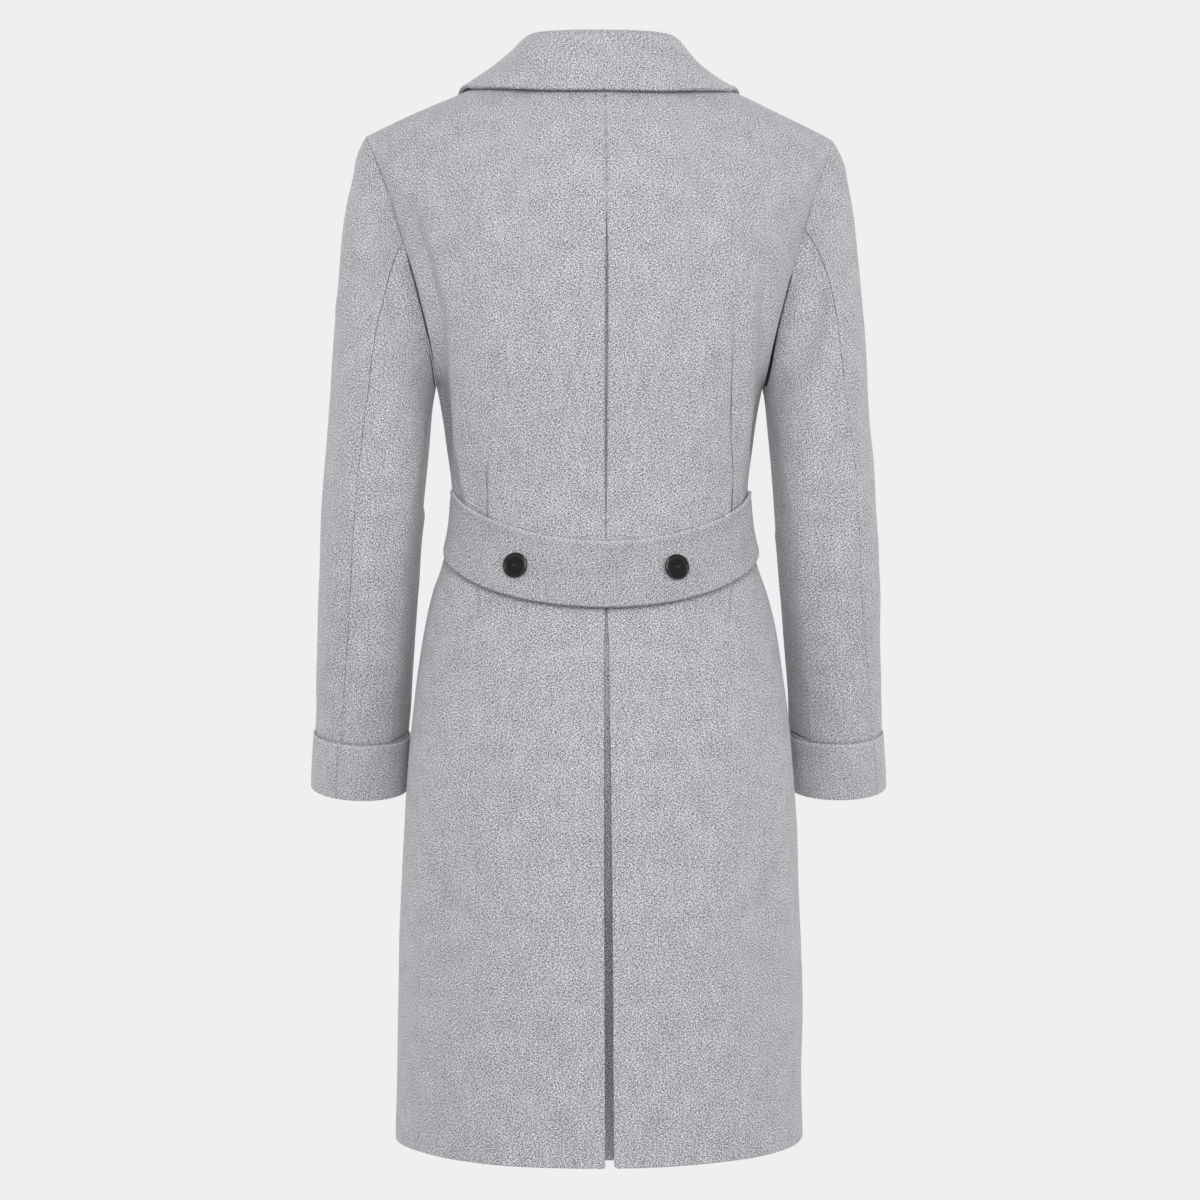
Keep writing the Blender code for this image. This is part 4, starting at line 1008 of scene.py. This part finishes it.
for side, word in SIDES.items():
    first, second = CUFF_SEAMS[side]
    cuff_rows = -spaced(-CUFF_TOP, -CUFF_END[side], 0.0036)
    cuff_place = np.concatenate([
        spaced(first * PLACE_RUN, second * PLACE_RUN, 0.0042)[:-1],
        spaced(second * PLACE_RUN, (first + ROUND) * PLACE_RUN, 0.0042)[:-1],
    ]) / PLACE_RUN
    grid = ring_points(cuff_rows, cuff_place)
    out = normals(grid, grid.mean(axis=1, keepdims=True), around=True)
    flare = CUFF_FLARE * np.exp(-(CUFF_TOP - cuff_rows) / 0.014)[:, None]
    from_seam = [np.abs(np.mod(cuff_place - seam + ROUND / 2, ROUND) - ROUND / 2) for seam in (first, second)]
    from_seam = PLACE_RUN * np.min(from_seam, axis=0)[None]
    groove = 0.0007 * bell(from_seam, 0.0008)
    across, up = runs(grid)
    lift = CUFF_LIE + CUFF_WALL + flare - groove + rumple(across, up, 70 + side, 0.055, 0.00035)
    outer = grid + out * lift[..., None]
    outer, out = on_side(side, outer, out)
    rounds = {"low": CUFF_WALL / 2, "high": CUFF_WALL / 2}
    # Painted shade along the cuff's seams, a painted highlight along its top edge and painted light over all of it
    painted_shading = 0.45 * bell(from_seam, 0.0010) - 0.34 * bell(up - 0.0008, 0.0014) - 0.13
    thick, node = CUFF_WALL - groove * 0.5, "cuff_" + word
    wall("wool_" + node, swayed(outer), out, thick, rounds, wool, {}, node, around=True, painted_shading=painted_shading)

# Pleat underlays: strips of the same cloth behind the centre back, one between the shoulders and the belt
# and one in the skirt, which hangs open. Each lies close at its sides and sinks in the middle.
UNDERLAY_LIE = 0.0008
SKIRT_STRIP = (
    (-1.047, 0.060, 0.0240),
    (-0.950, 0.059, 0.0240),
    (-0.850, 0.057, 0.0210),
    (-0.760, 0.054, 0.0140),
    (-0.680, 0.050, 0.0080),
    (-0.615, 0.046, 0.0034),
    (-0.560, 0.042, 0.0012),
    (-0.505, 0.039, 0.0005),
)  # height, half-width, how far the middle sinks
UPPER_STRIP = (
    (-0.462, 0.026, 0.0004),
    (-0.425, 0.030, 0.0005),
    (-0.370, 0.034, 0.0010),
    (-0.320, 0.036, 0.0015),
    (-0.270, 0.036, 0.0015),
    (-0.220, 0.035, 0.0015),
    (-0.175, 0.033, 0.0010),
    (-0.140, 0.030, 0.0005),
)


def skin(x, z, back):
    """Points and normals of the panels' outer surface at x and z."""
    step, flip = 0.0005, np.array([1.0, 1.0 if back else -1.0, 1.0])
    x, z = np.asarray(x, float), np.asarray(z, float)
    dx = (depth(x + step, z, back) - depth(x - step, z, back)) / (2 * step)
    dz = (depth(x, z + step, back) - depth(x, z - step, back)) / (2 * step)
    n = unit(np.stack([-dx, np.ones_like(x), -dz], axis=-1))
    return np.stack([x, depth(x, z, back), z], axis=-1) * flip, n * flip


def underlay(name, table, hem, node):
    """A strip across the centre back: x runs to the half-width, and the middle sinks in an eased channel."""
    z = spaced(table[0][0], table[-1][0], 0.0052)
    share = spaced(-0.06, 0.06, 0.0040) / 0.06
    half, sunk = np.moveaxis(smooth(table, z), -1, 0)
    z = np.repeat(z[:, None], len(share), axis=1)
    z = z + hem * np.exp(-(z - z[:1]) / 0.03)
    p, n = skin(share[None] * half[:, None], z, True)
    deep = WALL + UNDERLAY_LIE + sunk[:, None] * (1 - ease(np.abs(share) * 1.25 - 0.25))[None]
    rounds = dict.fromkeys(("left", "right", "low", "high"), TURNED)
    wall(name, p - n * deep[..., None], n, WALL, rounds, wool, {}, node)


underlay("wool_underlay_skirt", SKIRT_STRIP, 0.0045, "pleat_underlay_skirt")
underlay("wool_underlay_back", UPPER_STRIP, 0.0, "pleat_underlay_back")

# Half belt: a doubled strip of the cloth across the back from side seam to side seam, dipping in the
# middle, pressed and stitched along both edges and held by two buttons.
BELT_WALL, BELT_LIE = 0.0036, 0.0013
BELT_EDGES = ((-0.5222, 0.0490, 0.0180, 3), (-0.4574, 0.0530, 0.0145, 2))  # height in the middle, rise at
# the side seams, and what the ends rise besides, with its power
BELT_STITCH = 0.0048  # the stitching's distance from the edge
# The belt's wool runs across the grain and is made darker all over
belt_wool = wool_look("wool_flannel_darker", grain=90.0, shift=2.7, darker_all_over=0.115)
BELT_BUTTONS = ((0.0850, -0.4814), (-0.0668, -0.4829))

belt_high = spaced(0.0, 0.063, 0.0036) / 0.063
belt_share = spaced(SEAM, 0.21 - SEAM, 0.0046, (False, True)) / 0.21
belt_share = np.concatenate([-belt_share[::-1], belt_share[1:]])
dip = 1 - np.cos(np.abs(belt_share) * np.pi / 2)
low_z, high_z = (foot + rise * dip + more * np.abs(belt_share) ** power for foot, rise, more, power in BELT_EDGES)
high_z = high_z - 0.0140 * ease((np.abs(belt_share) - 0.84) / 0.16)
low_z = low_z + 0.0070 * np.maximum(belt_share, 0.0) ** 3 + 0.0100 * np.minimum(belt_share, 0.0) ** 2
belt_z = low_z * (1 - belt_high[:, None]) + high_z * belt_high[:, None]
BELT_THINS, BELT_SINKS = 0.0025, 0.0011  # how much thinner and lower the belt is at its side seams
BELT_CHANNEL, BELT_STANDS = 0.0014, 0.0026  # how deep its stitching lies, how far its lower edge stands off
BELT_DENT, BELT_DENT_WIDE = 0.0007, 0.008  # the hollow under each button
levels = np.linspace(belt_z.min(), belt_z.max(), 24)
rows = np.array([section(z, 0.0, np.abs(belt_share), True) for z in levels])
belt = np.empty(belt_z.shape + (3,))
for k in range(len(belt_share)):
    belt[:, k, 0] = np.interp(belt_z[:, k], levels, rows[:, k, 0]) * np.sign(belt_share[k])
    belt[:, k, 1] = np.interp(belt_z[:, k], levels, rows[:, k, 1])
belt[..., 2] = belt_z
belt_out = normals(belt, np.array([0.0, 0.0, -0.48]))
from_end = 1 - np.abs(belt_share)
belt_out[..., 1] *= 1 - np.exp(-from_end * 0.21 / 0.004)
belt_out = unit(belt_out)
across, up = runs(belt)
from_top = up[-1:] - up
edge = np.minimum(up, from_top)
at_seam = ease(np.abs(belt_share) * 4 - 3)[None]  # the belt thins and comes down to its side seams
belt_thick = BELT_WALL - BELT_THINS * at_seam
lift = BELT_LIE - BELT_SINKS * at_seam + belt_thick
lift = lift - BELT_CHANNEL * bell(edge - BELT_STITCH, 0.0011) + 0.0003 * bell(edge - 0.0026, 0.0014)
lift = lift + BELT_STANDS * ease(1 - up / 0.024) * ease(from_end * 4)
lift = lift + rumple(across, up, 91, 0.050, 0.0004) * ease(edge / 0.012) * ease(from_end * 6)
for x, z in BELT_BUTTONS:
    lift = lift - BELT_DENT * bell(np.hypot(belt[..., 0] - x, belt[..., 2] - z), BELT_DENT_WIDE)
outer = belt + belt_out * lift[..., None]
rounds = {"left": SEAM_ROUND, "right": SEAM_ROUND, "low": belt_thick / 2, "high": belt_thick / 2}
# Painted shade along the stitching channel and a painted highlight along the top edge
painted_shading = 0.20 * bell(from_top - 0.0078, 0.0024) - 0.30 * bell(from_top - 0.0016, 0.0022)
under = ["wool_back_left", "wool_back_right"]
# Painted shadow along the belt's lower edge, where it stands off the skirt
wall(
    "wool_half_belt", outer, belt_out, belt_thick, rounds, belt_wool, {"low": 1.3}, "back_belt",
    painted_shading=painted_shading,
)

# Collar: stand and fall in one, four layers thick, sewn round the neck seam and turned over. Its fall
# widens over the shoulders and ends in front above the lapels.
COLLAR_WALL = 0.0040
COLLAR = (
    (0.00, 0.0000, 0.0745, 0.0385, 0.0000, 0.0890, 0.0095, 0.0000, 0.0962, -0.0218),
    (0.15, 0.0360, 0.0680, 0.0392, 0.0440, 0.0830, 0.0095, 0.0520, 0.0905, -0.0212),
    (0.31, 0.0620, 0.0490, 0.0396, 0.0835, 0.0640, 0.0110, 0.1000, 0.0735, -0.0168),
    (0.43, 0.0695, 0.0260, 0.0376, 0.0960, 0.0340, 0.0148, 0.1285, 0.0440, -0.0118),
    (0.54, 0.0715, 0.0000, 0.0352, 0.1010, 0.0010, 0.0150, 0.1388, 0.0030, -0.0057),
    (0.68, 0.0745, -0.0420, 0.0300, 0.1060, -0.0460, 0.0060, 0.1455, -0.0480, -0.0215),
    (0.84, 0.0640, -0.0850, -0.0040, 0.1030, -0.0850, -0.0350, 0.1460, -0.0820, -0.0500),
    (1.00, 0.0490, -0.1010, -0.0470, 0.0970, -0.1060, -0.0850, 0.1350, -0.0960, -0.0730),
)  # share of the way round from the centre back, then fold, middle of the fall and its edge, x y z each
SIDE_NECK, LAPEL_TOP = 0.54, 0.80
COLLAR_STEPS = (0.0, 1.0, 2.0, 2.6, 3.2, 4.2, 5.4, 7.6)  # where the stand, fold and fall lie up the collar
COLLAR_LIFT = 0.0008


def spread(points, count):
    """Points moved along their own line until they are evenly spaced."""
    return along(points, np.linspace(0.0, 1.0, count))


def neck_edge(back, climb_rows, columns):
    """The panels' edge round the neck with the ways out of the cloth and on past the edge."""
    share = np.tile(columns, (len(climb_rows), 1))
    grid = panel(back, [], climb_rows, share)
    out = normals(grid, CHEST_MIDDLE)
    if back:
        line, away, past = grid[-1], out[-1], grid[-1] - grid[-2]
    else:
        line, away, past = grid[::-1, 0], out[::-1, 0], (grid[:, 0] - grid[:, 1])[::-1]
    return np.concatenate([line, away, unit(past)], axis=1)


def lifted(points, lift):
    """Points moved out until they are at least lift off the panels."""
    x = np.abs(points[..., 0])
    z = np.minimum(points[..., 2], ridge(x) - 0.0006)
    out = points.copy()
    for back in (True, False):
        p, n = skin(x, z, back)
        n[..., 0] *= np.sign(points[..., 0] + 1e-9)
        p[..., 0] *= np.sign(points[..., 0] + 1e-9)
        off = ((points - p) * n).sum(axis=-1)
        move = np.maximum(lift - off, 0.0) * ((points[..., 1] >= 0) == back)
        out += n * move[..., None]
    return out


def collar_grid(share, places):
    """Middle of the collar's cloth, left half: up the stand, round the fold and down the fall, and half of
    its thickness. Towards the front end the stand dies out over the turning edge."""
    fold, middle, edge = np.moveaxis(smooth(COLLAR, share).reshape(len(share), 3, 3), 1, 0)
    fine = np.linspace(0.0, 1.0, 41)
    neck = neck_edge(True, np.array([0.985, 1.0]), fine * NECK_PART)
    turning = neck_edge(False, fine, np.array([0.0, 0.01, 0.02]))
    stop = np.argmin(np.abs(turning[:, 2] - roll_line(LAPEL_TOP + 0.01)[1])) + 1
    neck, turning = spread(neck, 400), spread(turning[:stop], 400)
    run = np.where(share <= SIDE_NECK, share / SIDE_NECK, 1.0 + (share - SIDE_NECK) / (1 - SIDE_NECK)) * 399
    both = np.concatenate([neck, turning[1:]])
    seam = np.stack([np.interp(run, np.arange(len(both)), both[:, k]) for k in range(9)], axis=1)
    line, out, past = seam[:, :3], seam[:, 3:6], seam[:, 6:]
    square = unit(np.cross(out, np.gradient(line, share, axis=0)))
    past = square * np.sign((square * past).sum(axis=1, keepdims=True))
    climbing, cross = ease((share - 0.74) / 0.12)[:, None], ease((share - 0.84) / 0.13)[:, None]
    flat = ease((share - 0.76) / 0.24)[:, None]
    half = COLLAR_WALL / 2 * (1 - flat) + 0.0013 * flat
    bend = 0.0042 * (1 - flat) + 0.0022 * flat
    foot = line - out * (WALL / 2) + past * 0.0024 + out * 0.0034 * climbing
    fold = fold * (1 - flat) + (line + out * 0.0056 + past * 0.0022) * flat
    down = unit(edge - fold)
    away = unit(np.cross(down, np.gradient(fold, share, axis=0)))
    outwards = (away * (fold - np.array([0.0, 0.0, -0.1]))).sum(axis=1, keepdims=True) > 0
    away = np.where(outwards, away, -away)
    inside = fold + 1.1 * bend * down - bend * away
    outside = fold + 1.1 * bend * down + bend * away
    foot = foot * (1 - cross) + (inside + 0.0060 * down) * cross
    marks = np.stack([foot, (foot + inside) / 2, inside, fold, outside, (outside + middle) / 2, middle, edge])
    table = np.concatenate([np.array(COLLAR_STEPS)[:, None], marks.reshape(8, -1)], axis=1)
    grid = smooth(table, places).reshape(len(places), len(share), 3)
    fall = places >= 3.2
    grid[fall] = lifted(grid[fall], half[None, :, 0] + COLLAR_LIFT)
    return grid, half


FALL_RUN = 0.066  # about what the fall measures from the fold to its edge, 4.4 places
collar_places = np.concatenate([
    spaced(0.0, 0.030, 0.0030, (True, False))[:-1] / 0.015,
    np.linspace(2.0, 3.2, 17)[:-1],
    3.2 + spaced(0.0, FALL_RUN, 0.0040, (False, True)) * 4.4 / FALL_RUN,
])
COLLAR_RUN = 0.26
collar_share = spaced(0.0, COLLAR_RUN, 0.0040, (False, True)) / COLLAR_RUN
half_collar, collar_half = collar_grid(collar_share, collar_places)
collar = np.concatenate([mirrored(half_collar)[:, :0:-1], half_collar], axis=1)
collar_half = np.concatenate([collar_half[:0:-1], collar_half])[None, :, 0]
collar_out = unit(np.cross(np.gradient(collar, axis=1), np.gradient(collar, axis=0)))
if collar_out[-1, collar.shape[1] // 2, 1] < 0:
    collar_out = -collar_out
across, up = runs(collar)
fall_edge = up[-1:] - up
ends = np.minimum(across, across[:, -1:] - across)
lift = rumple(across, up, 101, 0.050, 0.0005) * ease(fall_edge / 0.012) * ease(ends / 0.02) * ease(up / 0.02)
lift = lift - 0.0003 * bell(fall_edge - 0.0050, 0.0009)
# The fall stands fuller over the left shoulder
full = bell(collar_share - 0.45, 0.14)
full = np.concatenate([0 * full[:0:-1], full])[None] * bell(collar_places - 5.2, 1.6)[:, None]
lift = lift + 0.0036 * full * ease((collar_places - 2.6) / 0.8)[:, None]
outer = collar + collar_out * (collar_half + lift)[..., None]
rounds = {"left": 0.0014, "right": 0.0014, "low": 0.0015, "high": COLLAR_WALL / 2}
# Painted shade along the stand's foot at the neck seam and painted shadow along the fall's edge
sewn = {"low": 0.7, "high": 0.6}
wall("wool_collar", outer, collar_out, 2 * collar_half, rounds, wool, sewn, "collar")

# Lapels: the fronts' own cloth turned back along the roll line, cut to a notch below the collar.
LAPEL = (
    (0.00, -0.072, -0.303),
    (0.35, 0.010, -0.262),
    (0.70, 0.092, -0.192),
    (1.00, 0.152, -0.128),
)  # share of the way up, then the outer edge x and z of the left one
LIE = 0.0008
lapel_up = spaced(0.0, 0.24, 0.0046) / 0.24
lapel_out = spaced(0.0, 0.09, 0.0042) / 0.09
for side, word in SIDES.items():
    inner, edge = roll_line(lapel_up * LAPEL_TOP), smooth(LAPEL, lapel_up)
    w = lapel_out[None, :, None]
    flat = inner[:, None] * (1 - w) + edge[:, None] * w
    flat[..., 0] += 0.0004
    p, n = skin(flat[..., 0], flat[..., 1], False)
    lie = np.full(p.shape[:2], LIE)
    if side < 0:
        p = p - n * tuck(p)[..., None]
        lie = lie + 0.0027 * ease(tuck(p) / 0.0012)
    across, up = runs(p)
    inside = ease(across / 0.02) * ease((across[:, -1:] - across) / 0.015)
    lift = np.abs(rumple(across, up, 120 + side, 0.05, 0.0003) * inside) + 0.0012 * np.exp(-across / 0.006)
    outer, out = on_side(side, p + n * (lie + WALL + lift)[..., None], n)
    rounds = dict.fromkeys(("left", "right", "low", "high"), TURNED)
    node, under = "lapel_" + word, ["wool_front_" + word]
    # Painted shade along each lapel's upper edge
    wall("wool_" + node, outer, out, WALL, rounds, wool, {"high": 0.6}, node)

# Buttons: turned black horn-like resin with a raised rim, a flat face and four holes, sewn on with two
# stitches of dark grey thread. Two on the half belt, six on the fronts in two columns.
BUTTON_R = 0.0123
BUTTON_PROFILE = (
    (0.00, 0.00205), (0.56, 0.00205), (0.66, 0.00212), (0.71, 0.00245), (0.76, 0.00300), (0.81, 0.00335),
    (0.87, 0.00345), (0.93, 0.00325), (0.975, 0.00275), (1.00, 0.00205), (0.995, 0.00140), (0.965, 0.00070),
    (0.90, 0.00015), (0.80, 0.0), (0.40, 0.0), (0.00, 0.0),
)  # share of the radius and height, from the middle of the face round the rim to the middle of the back
HOLE_R, HOLE_DEEP, HOLE_X, HOLE_Z = 0.00078, 0.0011, 0.00150, 0.00175
BUTTON_TURNS = 72
BUTTON_LIE = 0.0006
FACE_ROWS = 30  # rows of points on the face and the rim's inner side, which the holes go into
STITCH_WIDE, STITCH_TALL, STITCH_RISE = 0.00042, 0.00026, 0.00085
STITCH_LONG, STITCH_ROUND = 15, 8  # points along a stitch and round it
BUTTON_COLUMNS, BUTTON_ROWS = (-0.062, 0.062), (-0.335, -0.450, -0.565)


def resin_look(name):
    """Polished black resin, cloudy like horn in its depth, with a matter turned face."""
    material, tree, shader = new_look(name)
    start = Look(tree)
    place = start.node("ShaderNodeTexCoord", output=3)
    cloud = start.node("ShaderNodeTexNoise", inputs={"Vector": place, "Scale": 180.0, "Detail": 3.0})
    fine = start.node("ShaderNodeTexNoise", inputs={"Vector": place, "Scale": 2400.0, "Detail": 2.0})
    face = start.node("ShaderNodeAttribute", {"attribute_name": "sewn"}, output=2)
    colour = (cloud * face).mix((0.004, 0.004, 0.0045, 1.0), (0.022, 0.021, 0.022, 1.0))
    tree.links.new(colour.socket, shader.inputs["Base Color"])
    tree.links.new((face * 0.22 + fine * 0.06 + 0.12).socket, shader.inputs["Roughness"])
    tree.links.new(((1.0 - face) * 0.7).socket, shader.inputs["Coat Weight"])
    shader.inputs["Coat Roughness"].default_value = 0.025
    shader.inputs["Specular IOR Level"].default_value = 0.10
    return material


def thread_look(name):
    """Twisted dark grey sewing thread."""
    material, tree, shader = new_look(name)
    start = Look(tree)
    cloth = start.node("ShaderNodeUVMap", {"uv_map": "cloth"})
    slanted = start.node("ShaderNodeMapping", inputs={0: cloth, 2: (0, 0, 0.6), 3: (900.0, 900.0, 1.0)})
    twist = start.node("ShaderNodeTexWave", inputs={"Vector": slanted, "Scale": 1.0})
    colour = twist.mix((0.030, 0.030, 0.033, 1.0), (0.10, 0.10, 0.107, 1.0))
    tree.links.new(colour.socket, shader.inputs["Base Color"])
    shader.inputs["Roughness"].default_value = 0.7
    return material


resin, thread = resin_look("button_resin"), thread_look("button_thread")


def lathe(share, height, radius):
    """Points of a turned form: x and y round the axis for each share of the radius, then the height."""
    a = 2 * np.pi * np.arange(BUTTON_TURNS) / BUTTON_TURNS
    x, y = (radius * share[:, None] * f(a)[None] for f in (np.cos, np.sin))
    return np.stack([x, y, np.repeat(height[:, None], BUTTON_TURNS, axis=1)], axis=-1)


def button(name, node, place, out, quarter):
    """A button lying flat at place, facing out, its holes turned by quarter degrees, and its two stitches."""
    profile = np.array(BUTTON_PROFILE)
    run = np.concatenate([[0.0], np.cumsum(np.hypot(np.diff(profile[:, 0]) * BUTTON_R, np.diff(profile[:, 1])))])
    steps = np.concatenate([np.linspace(0.03, 1.0, 17), np.arange(1.25, len(run) - 1.1, 0.25)])
    at = np.interp(steps, np.arange(len(run)), run)
    share, height = (np.interp(at, run, column) for column in profile.T)
    form = lathe(share, height, BUTTON_R)
    spin = np.radians(quarter)
    deep = np.zeros(form.shape[:2])
    centres = []
    for sx in (-1, 1):
        for sz in (-1, 1):
            hx, hz = sx * HOLE_X, sz * HOLE_Z
            centre = (hx * np.cos(spin) - hz * np.sin(spin), hx * np.sin(spin) + hz * np.cos(spin))
            centres.append(centre)
            away = np.hypot(form[..., 0] - centre[0], form[..., 1] - centre[1])
            deep = np.maximum(deep, HOLE_DEEP * ease((HOLE_R * 1.25 - away) / (HOLE_R * 0.5)))
    form[..., 2] -= deep * (np.arange(len(at)) < FACE_ROWS)[:, None]
    axis = unit(np.asarray(out, float))
    side = unit(np.cross(axis, (0.0, 0.0, 1.0)))
    up = np.cross(side, axis)
    world = place + form[..., :1] * side + form[..., 1:2] * up + form[..., 2:] * axis
    rows, columns = world.shape[:2]
    number = np.arange(rows * columns).reshape(rows, columns)
    k = np.roll(number, -1, axis=1)
    faces = np.stack([number[:-1], k[:-1], k[1:], number[1:]], axis=-1).reshape(-1, 4).tolist()
    faces += [number[0, ::-1].tolist(), number[-1].tolist()]
    mesh = bpy.data.meshes.new(name)
    mesh.from_pydata(world.reshape(-1, 3).tolist(), [], faces)
    on_top = (ease((0.70 - share) / 0.05) * (np.arange(rows) < rows // 2))[:, None] * np.ones((1, columns))
    mesh.attributes.new("sewn", "FLOAT", "POINT").data.foreach_set("value", on_top.ravel().astype(np.float32))
    mesh.shade_smooth()
    mesh.materials.append(resin)
    made = placed(name, mesh)
    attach(made, "root")
    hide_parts(node)
    for n, (low, high) in enumerate(((centres[0], centres[1]), (centres[2], centres[3]))):
        t = np.linspace(0.0, 1.0, STITCH_LONG)
        x, y = (low[i] + (high[i] - low[i]) * t for i in (0, 1))
        rise = profile[0, 1] - 0.0004 + STITCH_RISE * np.sin(np.pi * t) ** 0.5
        path = place + x[:, None] * side + y[:, None] * up + rise[:, None] * axis
        ahead = unit(np.gradient(path, axis=0))
        wide = unit(np.cross(ahead, axis))
        tall = np.cross(wide, ahead)
        a = 2 * np.pi * np.arange(STITCH_ROUND)[:, None] / STITCH_ROUND
        tube = path[:, None] + STITCH_WIDE * np.cos(a) * wide[:, None] + STITCH_TALL * np.sin(a) * tall[:, None]
        number = np.arange(STITCH_LONG * STITCH_ROUND).reshape(STITCH_LONG, STITCH_ROUND)
        k = np.roll(number, -1, axis=1)
        faces = np.stack([number[:-1], number[1:], k[1:], k[:-1]], axis=-1).reshape(-1, 4)
        ends = [number[0].tolist(), number[-1, ::-1].tolist()]
        stitch = bpy.data.meshes.new("%s_stitch_%d" % (name, n + 1))
        stitch.from_pydata(tube.reshape(-1, 3).tolist(), [], faces.tolist() + ends)
        uv = np.zeros((len(stitch.loops), 2))
        ids = np.array([loop.vertex_index for loop in stitch.loops])
        uv[:, 0], uv[:, 1] = (ids // STITCH_ROUND) * 0.0003, (ids % STITCH_ROUND) * 0.0003
        stitch.uv_layers.new(name="cloth").data.foreach_set("uv", uv.ravel())
        stitch.shade_smooth()
        stitch.materials.append(thread)
        sewn = placed(stitch.name, stitch)
        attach(sewn, "root")


for (x, z), word, quarter in zip(BELT_BUTTONS, ("left", "right"), (14.0, -9.0)):
    p, n = skin(x, z, True)
    button("horn_belt_button_" + word, "belt_button_" + word, p + n * (BELT_LIE + BELT_WALL + BUTTON_LIE), n, quarter)
for row, z in enumerate(BUTTON_ROWS):
    for column, x in enumerate(BUTTON_COLUMNS):
        p, n = skin(x, z, False)
        tag = "front_button_%d%s" % (row + 1, "ab"[column])
        button("horn_" + tag, tag, p + n * 0.0008, n, 23.0 * row + 40.0 * column)
